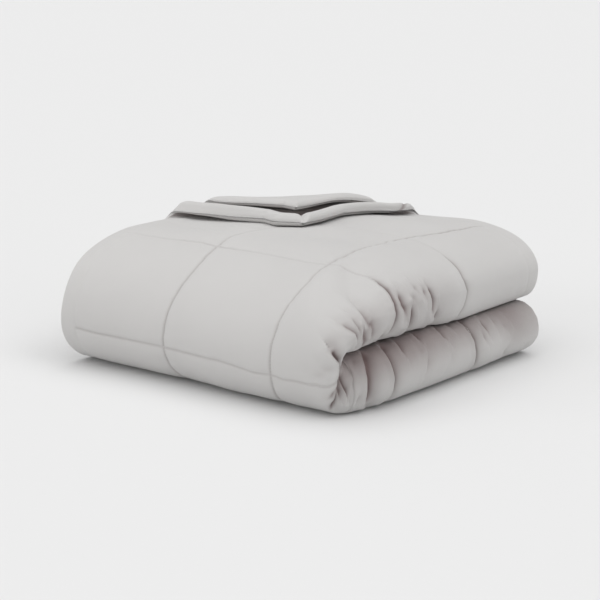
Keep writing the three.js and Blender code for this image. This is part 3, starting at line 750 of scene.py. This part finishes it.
def face_skin(u, v, outer):
    """Each corner's distance from the middle of its layer. Deep creases also press in
    the layers below, less and less."""
    under = v > HALF_ALONG
    halved = np.where(under, CLOTH_ALONG - v, v)
    rim = hem_round(u, v)
    top_layer = smooth(*SHOWN_TO, u)
    pressed = crease_relief(*drifted(u, halved))[0] * top_layer * smooth(*CREASED_TO, u)
    pressed = pressed * np.where(under, np.where(outer, *UNDER_CREASED), np.where(outer, *TOP_CREASED))
    shown = smooth(HALF_ALONG + SHOWN_FOLD, HALF_ALONG - SHOWN_FOLD, v) * top_layer
    bared = BARED * smooth(*BARED_ACROSS, u) * smooth(*BARED_ALONG, v)
    relief = seam_relief(u, v) * np.maximum(np.maximum(shown, bared), SEAM_INSIDE) + hem_relief(u, v)
    relief = relief + shown * BOX_UNEVEN * soft_noise(u, v, BOX_WAVE, 21)
    base = np.where(outer, SKIN, -SKIN) * rim + turned_corner_skin(u, v, outer)
    return base + pressed + np.where(outer, relief * rim, 0)


# Mesh lines: fine where the faces show, finest on the rolls, coarse inside the pile

FINE_STEP = 4.8
ROLL_STEP = 2.4
ROLL_FROM = 484.0
ROLL_TO = 660.0
ROLL_ALONG = (240.0, 1140.0)
CLEAR_OF_MARKS = 0.45
BESIDE_FINE = (-7.0, -3.5, -1.6, 0.0, 1.6, 3.5, 7.0)
BESIDE_STITCH = (-3.5, -1.6, 0.0, 1.6, 3.5)
BESIDE_SEAM = (-6.2, -2.2, 0.0, 2.2, 6.2)
RIM = (0.0, 0.5, 1.5, 3.0, 5.0, 7.0)
ACROSS_SEAMS = [BOX_ACROSS * k for k in range(1, 4)]
ALONG_SEAMS = [BOX_ALONG * k for k in range(1, 6)]
FOLD_START = HALF_ALONG - MIDDLE_BEND
FOLD_END = HALF_ALONG + MIDDLE_BEND


def refined(start, end, step, marks):
    """Even lines a step apart, with closer ones beside each mark."""
    count = max(int(round((end - start) / step)), 1)
    lines = list(np.linspace(start, end, count + 1))
    close = [m + o for m in marks for o in BESIDE_FINE if start <= m + o <= end]
    kept = [x for x in lines if all(abs(x - c) > CLEAR_OF_MARKS * step for c in close)]
    return sorted(set([start, end] + kept + close))


def even(start, end, count):
    return list(np.linspace(start, end, count))


def beside(line, offsets):
    return [line + offset for offset in offsets]


def across_lines():
    """Where mesh lines stand along U."""
    near = refined(0, ROLL_FROM, FINE_STEP, ACROSS_SEAMS + [HEM_STITCH])
    near += refined(ROLL_FROM, ROLL_TO, ROLL_STEP, ACROSS_SEAMS)[1:]
    near = sorted(set(RIM) | {u for u in near if u > RIM[-1] + 1})
    # Back below to the inner fold and round it
    far = even(690, 1100, 9) + even(INNER_FOLD[0] - 12, INNER_FOLD[1] + 12, 16)
    # Out again and round the inner turn
    far += even(1190, 1670, 10) + even(*INNER_TURN, 9)
    # Back to the far hem, with its last seam and its stitching
    far += even(1750, 2050, 7) + beside(CLOTH_ACROSS - BOX_ACROSS, BESIDE_SEAM)
    far += even(2105, 2225, 4) + [2240.0] + beside(CLOTH_ACROSS - HEM_STITCH, BESIDE_STITCH)
    far += [2262.0, 2272.0] + [CLOTH_ACROSS - r for r in reversed(RIM)]
    return snapped(near + far)


def snapped(lines):
    """The line nearest to each corner's leg moves onto it."""
    lines = list(lines)
    for leg in (CORNER_LEG - 2 * UNDER_IN, CORNER_LEG):
        i = int(np.argmin([abs(x - leg) for x in lines]))
        lines[i] = leg
    return lines


def coarse_half():
    """Stops along V from the hem to the fold, for layers inside the pile."""
    stops = even(10, 24, 2) + beside(HEM_STITCH, BESIDE_STITCH) + [46.0] + even(68, 190, 5)
    stops += beside(BOX_ALONG, BESIDE_SEAM) + even(225, 300, 3)
    return stops + even(312, 740, 34) + even(760, 1205, 12)


def roll_half():
    """Stops along V from the hem to the fold, for the rolls."""
    stops = refined(9, ROLL_ALONG[0], FINE_STEP, ALONG_SEAMS + [HEM_STITCH])
    stops += refined(*ROLL_ALONG, ROLL_STEP, ALONG_SEAMS)[1:]
    return stops + refined(ROLL_ALONG[1], FOLD_START, FINE_STEP, ALONG_SEAMS)[1:]


def stops_along(first_half):
    """All stops along V: the first half as given, the fold, and the second half coarse."""
    back = [CLOTH_ALONG - v for v in coarse_half() + list(RIM)]
    return sorted(set(RIM) | set(first_half) | set(even(FOLD_START, FOLD_END, 9)) | set(back))


ACROSS = across_lines()
FINE_STOPS = stops_along(refined(9, FOLD_START, FINE_STEP, ALONG_SEAMS + [HEM_STITCH]))
ROLL_STOPS = stops_along(roll_half())
COARSE_STOPS = stops_along(coarse_half())

# How near a stop may stand to the turned corner's diagonal, and to the hem
FREE_OF_DIAGONAL = 2.5
FREE_OF_HEM = 0.3


class SheetMesh:
    """Corners by their place on the sheet, and triangles between them."""

    def __init__(self):
        self.u = []
        self.v = []
        self.outer = []
        self.triangles = []

    def corner(self, u, v, outer):
        self.u.append(u)
        self.v.append(v)
        self.outer.append(outer)
        return len(self.u) - 1

    def triangle(self, a, b, c, flip):
        self.triangles.append((a, c, b) if flip else (a, b, c))

    def strip(self, left, right, flip):
        """Fills the strip between two neighbouring lines of (corner, place)."""
        i = 0
        j = 0
        while i < len(left) - 1 or j < len(right) - 1:
            left_next = left[i + 1][1] if i < len(left) - 1 else math.inf
            right_next = right[j + 1][1] if j < len(right) - 1 else math.inf
            if left_next <= right_next:
                self.triangle(left[i][0], right[j][0], left[i + 1][0], flip)
                i += 1
            else:
                self.triangle(left[i][0], right[j][0], right[j + 1][0], flip)
                j += 1


def line_of_corners(mesh, u, outer):
    """One mesh line along V, from the first diagonal or hem to the last."""
    first = max(CORNER_LEG - u, 0)
    last = CLOTH_ALONG - max(CORNER_LEG - 2 * UNDER_IN - u, 0)
    stops = COARSE_STOPS
    if outer and u <= ROLL_TO + 1:
        stops = ROLL_STOPS if u >= ROLL_FROM else FINE_STOPS
    start = first + (FREE_OF_DIAGONAL if first > 0 else FREE_OF_HEM)
    end = last - (FREE_OF_DIAGONAL if last < CLOTH_ALONG else FREE_OF_HEM)
    inside = [v for v in stops if start < v < end]
    return [(mesh.corner(u, v, outer), v) for v in [first] + inside + [last]]


def corner_rows(mesh, diagonal, under, outer):
    """Rows of the turned corner beyond its diagonal, each a little nearer to its tip."""
    leg = CORNER_LEG - 2 * UNDER_IN if under else CORNER_LEG
    bend = math.pi * (CORNER_BEND + CORNER_DROP if under else CORNER_BEND)
    rows = [diagonal]
    marks = even(0, bend, 15 if under else 9)[1:] + even(bend, leg / math.sqrt(2), 30)[1:-1]
    for past in marks:
        reduced = leg - past * math.sqrt(2)
        row = []
        for _, share in diagonal:
            u = reduced * share
            v = reduced - u
            row.append((mesh.corner(u, CLOTH_ALONG - v if under else v, outer), share))
        rows.append(row)
    return rows


def add_turned_corner(mesh, lines, under, outer):
    """Fills one layer's turned corner, and gives its rows and its tip."""
    leg = CORNER_LEG - 2 * UNDER_IN if under else CORNER_LEG
    ends = [line[-1] if under else line[0] for line in lines]
    diagonal = [(end[0], u / leg) for end, u in zip(ends, ACROSS) if u <= leg + 0.01]
    rows = corner_rows(mesh, diagonal, under, outer)
    tip = mesh.corner(0.0, CLOTH_ALONG if under else 0.0, outer)
    flip = outer if under else not outer
    for near, far in zip(rows, rows[1:]):
        for k in range(len(near) - 1):
            mesh.triangle(near[k][0], near[k + 1][0], far[k + 1][0], flip)
            mesh.triangle(near[k][0], far[k + 1][0], far[k][0], flip)
    last = rows[-1]
    for k in range(len(last) - 1):
        mesh.triangle(last[k][0], last[k + 1][0], tip, flip)
    return rows, tip


def add_face(mesh, outer):
    """Adds one face of the sheet, and gives the ring of corners round its rim."""
    lines = [line_of_corners(mesh, u, outer) for u in ACROSS]
    for left, right in zip(lines, lines[1:]):
        mesh.strip(left, right, outer)
    top_rows, top_tip = add_turned_corner(mesh, lines, False, outer)
    under_rows, under_tip = add_turned_corner(mesh, lines, True, outer)
    ring = [corner for corner, _ in lines[0]]
    ring += [row[0][0] for row in under_rows[1:]] + [under_tip]
    ring += [row[-1][0] for row in reversed(under_rows)]
    ring += [line[-1][0] for line in lines[len(under_rows[0]):]]
    ring += [corner for corner, _ in reversed(lines[-1][:-1])]
    ring += [line[0][0] for line in reversed(lines[len(top_rows[0]) - 1:-1])]
    ring += [row[-1][0] for row in top_rows[1:]] + [top_tip]
    ring += [row[0][0] for row in reversed(top_rows[1:])]
    return ring


def rim_place(u, v):
    """How far round the sheet's rim a corner lies, from the top hem at U 0 on."""
    if u <= 0.01:
        return v
    if v >= CLOTH_ALONG - 0.01:
        return CLOTH_ALONG + u
    if u >= CLOTH_ACROSS - 0.01:
        return CLOTH_ALONG + CLOTH_ACROSS + (CLOTH_ALONG - v)
    return 2 * CLOTH_ALONG + CLOTH_ACROSS + (CLOTH_ACROSS - u)


def close_rings(mesh, outer_ring, inner_ring):
    """The rim closes the two faces with one strip."""
    total = 2 * (CLOTH_ALONG + CLOTH_ACROSS)

    def placed(ring):
        items = [(i, rim_place(mesh.u[i], mesh.v[i])) for i in ring]
        start = min(range(len(items)), key=lambda k: items[k][1])
        items = items[start:] + items[:start]
        return items + [(items[0][0], items[0][1] + total)]

    mesh.strip(placed(outer_ring), placed(inner_ring), True)


# Painted shade in hollows, from nothing to one. The groove's painted shade lies on the lower roll, by
# place across the sheet, and is weaker towards the far end
GROOVE_SHADE = (
    (552, 0), (565, 0.12), (577, 0.36), (590, 0.58), (606, 0.74), (625, 0.85), (668, 0.93),
    (690, 0.5), (715, 0),
)
LOWER_ROLL_FROM = (606.0, 640.0)
LOWER_ROLL_LOBE = (588.0, 606.0)
LOBE_EDGE = (572.0, 596.0)
LOBE_TO = 700.0
LESS_SHADE = 0.12
LESS_SHADE_FROM = (900.0, 1100.0)
LEAST_SHADE = 0.3
LEAST_SHADE_FROM = (1120.0, 1219.0)
GROOVE_SHIFT = 13.0
GROOVE_SHIFT_ALONG = (790.0, 690.0)
GROOVE_SHIFT_ACROSS = (680.0, 650.0)
LIP_SHADE = 0.15
LIP_FROM = (600.0, 668.0)
LIP_TO = (715.0, 680.0)

# Soft painted shade under the upper roll's swell
ROLL_SHADE = 0.13
ROLL_SHADE_ACROSS = ((500.0, 560.0), (640.0, 600.0))
ROLL_SHADE_ALONG = ((200.0, 270.0), (560.0, 500.0))

# Painted shade along sewn lines, stronger on the top beside the rolls, and painted shade in the turned corner
SEAM_SHADE = 0.38
SEAM_SHADE_WIDE = 1.5
TOP_SEAM_SHADE = 0.8
TOP_SEAM_ALONG = (260.0, 200.0)
TOP_SEAM_ACROSS = (300.0, 330.0)
CORNER_SHADE = 0.75
CORNER_SHADE_FROM = (34.0, 50.0)
TUCK_SHADE = 0.8
TUCK_SHADE_WIDE = 3.0
BELOW_CORNER_SHADE = 0.6
BELOW_CORNER_FROM = (4.0, 12.0)
CORNER_SHADE_SHORT = 6.0


# Painted shade along the sewn lines
def seam_shade(u, v):
    to_u, to_v, tight_u, tight_v = seam_distances(u, v)
    on_top = 1 + TOP_SEAM_SHADE * smooth(*TOP_SEAM_ALONG, v) * smooth(*TOP_SEAM_ACROSS, u)
    across = on_top * tight_u * bell(to_u, SEAM_SHADE_WIDE)
    lengthwise = tight_v * bell(to_v, SEAM_SHADE_WIDE)
    return SEAM_SHADE * np.maximum(across, lengthwise) * inside_hem(u, v)


def groove_shade(u, v):
    """Painted shade between the rolls, most of it on the lower one."""
    less = LESS_SHADE * smooth(*LESS_SHADE_FROM, v) + LEAST_SHADE * smooth(*LEAST_SHADE_FROM, v)
    lobe = smooth(*LOBE_EDGE, u) * smooth(*LOWER_ROLL_LOBE, v) * (v < LOBE_TO)
    lower_roll = np.maximum(smooth(*LOWER_ROLL_FROM, v) * (1 - less), lobe)
    lower_roll = lower_roll * smooth(HALF_ALONG + SHOWN_FOLD, HALF_ALONG, v)
    lip = LIP_SHADE * smooth(*LIP_FROM, u) * smooth(*LIP_TO, u) * (1 - lower_roll)
    shifted = u + GROOVE_SHIFT * smooth(*GROOVE_SHIFT_ALONG, v) * smooth(*GROOVE_SHIFT_ACROSS, u)
    # Soft painted shade under the upper roll's swell
    soft = ROLL_SHADE
    for ends in ROLL_SHADE_ACROSS:
        soft = soft * smooth(*ends, u)
    for ends in ROLL_SHADE_ALONG:
        soft = soft * smooth(*ends, v)
    return np.maximum(between(GROOVE_SHADE, shifted) * lower_roll + lip, soft)


def painted_shade_places(u, v, outer):
    """Painted shade for each corner, mixed into the cotton's colour: one at the bottom of a seam or
    a sharp crease, and much of it between the turned corner's two bands and under its lower one."""
    painted_crease_shade = np.clip(crease_relief(*drifted(u, v))[1], 0, 0.9)
    outer_painted_shade = 1 - (1 - seam_shade(u, v)) * (1 - painted_crease_shade) * (1 - groove_shade(u, v))
    # Painted shade inside the turned corner: between its two bands, along the fold at its right end, and
    # under its lower band
    turned = u + v < CORNER_LEG - CORNER_SHADE_SHORT
    from_edge = np.minimum(u, v)
    painted_tuck_shade = TUCK_SHADE * bell((u - v) / math.sqrt(2) - RIGHT_TUCK, TUCK_SHADE_WIDE)
    inside = np.maximum(CORNER_SHADE * smooth(*CORNER_SHADE_FROM, from_edge), painted_tuck_shade) * turned
    below = BELOW_CORNER_SHADE * smooth(*BELOW_CORNER_FROM, from_edge) * turned
    return np.where(outer, np.maximum(np.clip(outer_painted_shade, 0, 1), below), inside)


# The finished blanket

# How uneven the hems and folds of the two far sides are, and where
UNEVEN = 2.2
UNEVEN_HEIGHT = 2.0
UNEVEN_WAVE = 150.0
UNEVEN_HEIGHT_WAVE = 170.0
HEM_SIDE = (-150.0, -262.0)
FAR_SIDE = (150.0, 262.0)
UNEVEN_BELOW = (205.0, 150.0)
UNEVEN_ABOVE = (0.0, 40.0)
LOWEST = 0.0001


def uneven(point):
    """The hems and folds of the two far sides don't lie quite straight."""
    x, y, z = point[..., 0], point[..., 1], point[..., 2]
    hems = smooth(*HEM_SIDE, x)
    far = smooth(*FAR_SIDE, y)
    side = np.maximum(hems, far) * smooth(*UNEVEN_BELOW, z) * smooth(*UNEVEN_ABOVE, z)
    moved_x = UNEVEN * soft_noise(y, z, UNEVEN_WAVE, 31) * hems
    moved_y = UNEVEN * soft_noise(x, z, UNEVEN_WAVE, 32) * far
    moved_z = UNEVEN_HEIGHT * soft_noise(x + y, z, UNEVEN_HEIGHT_WAVE, 33) * side
    return point + np.stack([moved_x, moved_y, moved_z], -1)


def placed_point(u, v, skin):
    """A point of the finished blanket in metres, pressed flat where it meets the floor."""
    point = (uneven(blanket_point(*drifted(u, v), skin)) + SHIFT) / 1000
    point[..., 2] = np.maximum(point[..., 2], LOWEST)
    return point


def build_blanket():
    """Points, triangles, the painted shade of each point, and its place on the flat cloth."""
    mesh = SheetMesh()
    outer_ring = add_face(mesh, True)
    inner_ring = add_face(mesh, False)
    close_rings(mesh, outer_ring, inner_ring)
    u = np.array(mesh.u)
    v = np.array(mesh.v)
    outer = np.array(mesh.outer)
    points = placed_point(u, v, face_skin(u, v, outer))
    return points, np.array(mesh.triangles), painted_shade_places(u, v, outer), np.stack([u, v], -1) / 1000


def new_object(name, points, faces):
    data = bpy.data.meshes.new(name)
    data.from_pydata(points.tolist(), [], [list(face) for face in faces])
    data.update()
    data.polygons.foreach_set("use_smooth", np.ones(len(data.polygons), dtype=bool))
    thing = bpy.data.objects.new(name, data)
    bpy.context.collection.objects.link(thing)
    return thing


# Painted shade for each corner comes with the mesh and is stored as an attribute for the cotton's colour
points, triangles, painted_shade, cloth_places = build_blanket()
blanket = new_object("blanket_quilted", points, triangles)
cloth_map = blanket.data.uv_layers.new(name="cloth")
cloth_map.data.foreach_set("uv", cloth_places[triangles.ravel()].astype(np.float32).ravel())
painted_shade_layer = blanket.data.attributes.new("painted_shade", "FLOAT", "POINT")
painted_shade_layer.data.foreach_set("value", painted_shade.astype(np.float32))


# Stitching

STITCH_EVERY = 5.0
STITCH_LENGTH = 3.3
STITCH_THICK = 1.0
STITCH_SIDES = 6
STITCH_END = 0.15
STITCH_END_THICK = 0.45

# How far the thread stands out of the cloth on a slack and on a tight line
THREAD_SLACK = -0.42
THREAD_TIGHT = 0.4

# Where sewn lines end on the faces that show, and on the bared layer at the far corner
SEWN_TO = 655.0
PAST_CORNER = 12.0
BARED_HEM = 260.0
BARED_SEAM = 110.0
UNDER_HEM = 190.0


def one_stitch():
    """A short thread along X with rounded ends, in metres."""
    bpy.ops.object.select_all(action="DESELECT")
    length = STITCH_LENGTH / 1000
    bpy.ops.mesh.primitive_cylinder_add(
        vertices=STITCH_SIDES,
        radius=STITCH_THICK / 2000,
        depth=length * (1 - 2 * STITCH_END),
        rotation=(0, math.pi / 2, 0),
    )
    stitch = bpy.context.object
    bpy.ops.object.transform_apply(location=True, rotation=True, scale=True)
    bpy.ops.object.mode_set(mode="EDIT")
    bpy.ops.mesh.select_mode(type="FACE")
    for way in (-1, 1):
        bpy.ops.mesh.select_all(action="DESELECT")
        bpy.ops.object.mode_set(mode="OBJECT")
        for face in stitch.data.polygons:
            face.select = face.normal.x * way > 0.9
        bpy.ops.object.mode_set(mode="EDIT")
        reach = STITCH_END * length * way
        bpy.ops.mesh.extrude_region_move(TRANSFORM_OT_translate={"value": (reach, 0, 0)})
        bpy.ops.transform.resize(value=(1, STITCH_END_THICK, STITCH_END_THICK))
    bpy.ops.object.mode_set(mode="OBJECT")
    return stitch


def stitches(start, end):
    return np.arange(start, end, STITCH_EVERY)


def sewn_along(u, places, tight):
    """Stitches of a line along V: U, V, the line's own direction, and how tight it is."""
    held = between(tight, places)
    return np.stack([np.full(len(places), u), places, 0 * places, 0 * places + 1, held], -1)


def sewn_across(v, places, tight):
    """Stitches of a line across U."""
    held = between(tight, places)
    return np.stack([places, np.full(len(places), v), 0 * places + 1, 0 * places, held], -1)


def sewn_places():
    """Where all stitches go. Slack and tight values are rows of (place, tightness)."""
    slack = ((0, 0),)
    half_slack = ((0, 0.3),)
    nearly_tight = ((0, 0.8),)
    tight = ((0, 1),)
    far_u = CLOTH_ACROSS - HEM_STITCH
    far_v = CLOTH_ALONG - HEM_STITCH
    from_corner = CORNER_LEG - HEM_STITCH + 8
    lines = []
    for k in (1, 2):
        start = CORNER_LEG + PAST_CORNER - BOX_ACROSS if k == 1 else HEM_STITCH
        lines.append(sewn_along(BOX_ACROSS * k, stitches(start + 3, HALF_ALONG - 4), ACROSS_TIGHT[k]))
    for k in range(1, 6):
        start = CORNER_LEG + PAST_CORNER - BOX_ALONG if k == 1 else HEM_STITCH
        lines.append(sewn_across(BOX_ALONG * k, stitches(start + 3, SEWN_TO), ALONG_TIGHT.get(k, tight)))
    lines.append(sewn_along(HEM_STITCH, stitches(from_corner, HALF_ALONG - 4), slack))
    lines.append(sewn_across(HEM_STITCH, stitches(from_corner, SEWN_TO), slack))
    # The bared layer: its two hems and the seams nearest to them
    lines.append(sewn_across(far_v, far_u - stitches(3, BARED_HEM), half_slack))
    lines.append(sewn_along(far_u, far_v - stitches(3, BARED_HEM), half_slack))
    bared = stitches(HEM_STITCH + 3, BARED_SEAM)
    lines.append(sewn_along(CLOTH_ACROSS - BOX_ACROSS, CLOTH_ALONG - bared, nearly_tight))
    lines.append(sewn_across(CLOTH_ALONG - BOX_ALONG, CLOTH_ACROSS - bared, nearly_tight))
    # The under layer's turned hems
    under = stitches(HEM_STITCH + 3, UNDER_HEM)
    lines.append(sewn_along(HEM_STITCH, CLOTH_ALONG - under, slack))
    lines.append(sewn_across(far_v, under, slack))
    return np.concatenate(lines)


def sewn_surface(u, v, tight):
    """The thread lies in the cloth on a slack line and stands on it on a tight one."""
    outer = np.ones(len(u), bool)
    proud = THREAD_SLACK + (THREAD_TIGHT - THREAD_SLACK) * tight
    return placed_point(u, v, face_skin(u, v, outer) + proud)


def build_stitching():
    """Copies of the one stitch, each turned along its line and out of the cloth."""
    stitch = one_stitch()
    shape = np.array([corner.co for corner in stitch.data.vertices])
    sides = [list(face.vertices) for face in stitch.data.polygons]
    bpy.data.objects.remove(stitch)
    u, v, along_u, along_v, tight = sewn_places().T
    middle = sewn_surface(u, v, tight)
    ahead = sewn_surface(u + along_u, v + along_v, tight) - sewn_surface(u - along_u, v - along_v, tight)
    aside = sewn_surface(u + along_v, v + along_u, tight) - sewn_surface(u - along_v, v - along_u, tight)
    ahead /= np.linalg.norm(ahead, axis=1, keepdims=True)
    out = np.cross(ahead, aside)
    out /= np.linalg.norm(out, axis=1, keepdims=True)
    aside = np.cross(out, ahead)
    turned = np.stack([ahead, aside, out], axis=1)
    points = np.einsum("ci,sij->scj", shape, turned) + middle[:, None, :]
    faces = [[corner + i * len(shape) for corner in side] for i in range(len(u)) for side in sides]
    return points.reshape(-1, 3), faces


stitch_points, stitch_faces = build_stitching()
stitching = new_object("box_stitching", stitch_points, stitch_faces)
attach(stitching, "root")


# Cotton cover

COTTON_DULL = (0.515, 0.505, 0.497, 1)
COTTON_BRIGHT = (0.545, 0.535, 0.526, 1)
# Painted shade: the cotton's colour is mixed towards this dark colour in hollows, creases, seams and the
# groove
PAINTED_SHADE_COLOUR = (0.13, 0.083, 0.08, 1)
THREAD_COLOUR = (0.55, 0.54, 0.53, 1)


def cotton_material():
    """Smooth cotton with painted shade in hollows, creases and seams, a faint rumple and a plain weave."""
    material = bpy.data.materials.new("cotton_cover")
    material.use_nodes = True
    nodes = material.node_tree.nodes
    links = material.node_tree.links
    nodes.clear()
    out = nodes.new("ShaderNodeOutputMaterial")
    shader = nodes.new("ShaderNodeBsdfPrincipled")
    links.new(shader.outputs["BSDF"], out.inputs["Surface"])
    shader.inputs["Roughness"].default_value = 0.82
    shader.inputs["Sheen Weight"].default_value = 0.25
    shader.inputs["Sheen Roughness"].default_value = 0.5
    coordinates = nodes.new("ShaderNodeTexCoord")
    cloud = nodes.new("ShaderNodeTexNoise")
    cloud.inputs["Scale"].default_value = 9.0
    cloud.inputs["Detail"].default_value = 3.0
    links.new(coordinates.outputs["Object"], cloud.inputs["Vector"])
    ramp = nodes.new("ShaderNodeValToRGB")
    ramp.color_ramp.elements[0].color = COTTON_DULL
    ramp.color_ramp.elements[1].color = COTTON_BRIGHT
    links.new(cloud.outputs["Fac"], ramp.inputs["Fac"])
    # Painted shade: the attribute mixes the base colour towards the dark colour
    painted_shade_value = nodes.new("ShaderNodeAttribute")
    painted_shade_value.attribute_name = "painted_shade"
    painted_shade_mix = nodes.new("ShaderNodeMix")
    painted_shade_mix.data_type = "RGBA"
    painted_shade_mix.inputs[7].default_value = PAINTED_SHADE_COLOUR
    links.new(painted_shade_value.outputs["Fac"], painted_shade_mix.inputs[0])
    links.new(ramp.outputs["Color"], painted_shade_mix.inputs[6])
    links.new(painted_shade_mix.outputs[2], shader.inputs["Base Color"])
    fine = nodes.new("ShaderNodeTexNoise")
    fine.inputs["Scale"].default_value = 55.0
    fine.inputs["Detail"].default_value = 4.0
    links.new(coordinates.outputs["Object"], fine.inputs["Vector"])
    rumple = nodes.new("ShaderNodeBump")
    rumple.inputs["Strength"].default_value = 0.12
    rumple.inputs["Distance"].default_value = 0.004
    links.new(fine.outputs["Fac"], rumple.inputs["Height"])
    # Plain weave, about 0.4 mm from thread to thread, along the cloth's own map
    cloth = nodes.new("ShaderNodeUVMap")
    cloth.uv_map = "cloth"
    woven = nodes.new("ShaderNodeMath")
    woven.operation = "MAXIMUM"
    for i, way in enumerate(("X", "Y")):
        thread = nodes.new("ShaderNodeTexWave")
        thread.bands_direction = way
        thread.inputs["Scale"].default_value = 800.0
        thread.inputs["Distortion"].default_value = 0.6
        thread.inputs["Detail"].default_value = 1.0
        links.new(cloth.outputs["UV"], thread.inputs["Vector"])
        links.new(thread.outputs["Fac"], woven.inputs[i])
    weave = nodes.new("ShaderNodeBump")
    weave.inputs["Strength"].default_value = 0.6
    weave.inputs["Distance"].default_value = 0.0001
    links.new(woven.outputs["Value"], weave.inputs["Height"])
    links.new(rumple.outputs["Normal"], weave.inputs["Normal"])
    links.new(weave.outputs["Normal"], shader.inputs["Normal"])
    return material


def thread_material():
    """Cotton thread a little lighter than the cloth, with its twist."""
    material = bpy.data.materials.new("sewing_thread")
    material.use_nodes = True
    nodes = material.node_tree.nodes
    links = material.node_tree.links
    shader = nodes["Principled BSDF"]
    shader.inputs["Base Color"].default_value = THREAD_COLOUR
    shader.inputs["Roughness"].default_value = 0.7
    coordinates = nodes.new("ShaderNodeTexCoord")
    twist = nodes.new("ShaderNodeTexNoise")
    twist.inputs["Scale"].default_value = 900.0
    links.new(coordinates.outputs["Object"], twist.inputs["Vector"])
    bump = nodes.new("ShaderNodeBump")
    bump.inputs["Strength"].default_value = 0.3
    bump.inputs["Distance"].default_value = 0.0003
    links.new(twist.outputs["Fac"], bump.inputs["Height"])
    links.new(bump.outputs["Normal"], shader.inputs["Normal"])
    return material


blanket.data.materials.append(cotton_material())
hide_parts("blanket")
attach(blanket, "root")
stitching.data.materials.append(thread_material())


# Floor, light and camera

FLOOR_COLOUR = (0.74, 0.74, 0.74, 1)
FLOOR_SIZE = 30
WORLD_STRENGTH = 0.5

# Each light's place, its strength and its spread in degrees
LIGHTS = {
    "overhead": ((0.1, -0.1, 1.0), 1.65, 90),
    "key": ((-1.7, -2.6, 0.4), 0.85, 40),
    "fill": ((2.6, 0.4, 3.0), 0.25, 30),
    "side": ((2.6, -0.4, 0.5), 0.35, 50),
}

# The camera looks from the near corner of spine and rolls, a little above the top
CAMERA_AZIMUTH = math.radians(40.03)
CAMERA_RISE = math.radians(13.85)
CAMERA_DISTANCE = 3.4557
CAMERA_LENS = 132
CAMERA_AIM = Vector(((-14.7 + SHIFT[0]) / 1000, SHIFT[1] / 1000, 0.0923))


def floor_material():
    material = bpy.data.materials.new("pale_floor")
    material.use_nodes = True
    shader = material.node_tree.nodes["Principled BSDF"]
    shader.inputs["Base Color"].default_value = FLOOR_COLOUR
    shader.inputs["Roughness"].default_value = 0.9
    return material


def sun_light(name, place, strength, spread):
    """A light from far off that shines from a place towards the origin."""
    data = bpy.data.lights.new(name, "SUN")
    data.energy = strength
    data.angle = math.radians(spread)
    light = bpy.data.objects.new(name, data)
    bpy.context.collection.objects.link(light)
    light.location = place
    light.rotation_euler = (-Vector(place)).to_track_quat("-Z", "Y").to_euler()


def place_camera():
    back = Vector((
        math.sin(CAMERA_AZIMUTH) * math.cos(CAMERA_RISE),
        -math.cos(CAMERA_AZIMUTH) * math.cos(CAMERA_RISE),
        math.sin(CAMERA_RISE),
    ))
    data = bpy.data.cameras.new("camera")
    data.sensor_width = 36
    data.lens = CAMERA_LENS
    camera = bpy.data.objects.new("camera", data)
    bpy.context.collection.objects.link(camera)
    camera.location = CAMERA_AIM + back * CAMERA_DISTANCE
    camera.rotation_euler = (-back).to_track_quat("-Z", "Y").to_euler()
    bpy.context.scene.camera = camera


bpy.context.scene.view_settings.view_transform = "Standard"
bpy.ops.mesh.primitive_plane_add(size=FLOOR_SIZE, location=(0, 0, 0))
floor = bpy.context.object
floor.name = "floor"
floor.data.materials.append(floor_material())

world = bpy.data.worlds.new("studio")
bpy.context.scene.world = world
world.use_nodes = True
world.node_tree.nodes["Background"].inputs["Color"].default_value = (1.0, 1.0, 1.0, 1)
world.node_tree.nodes["Background"].inputs["Strength"].default_value = WORLD_STRENGTH

for name, (place, strength, spread) in LIGHTS.items():
    sun_light(name, place, strength, spread)
place_camera()
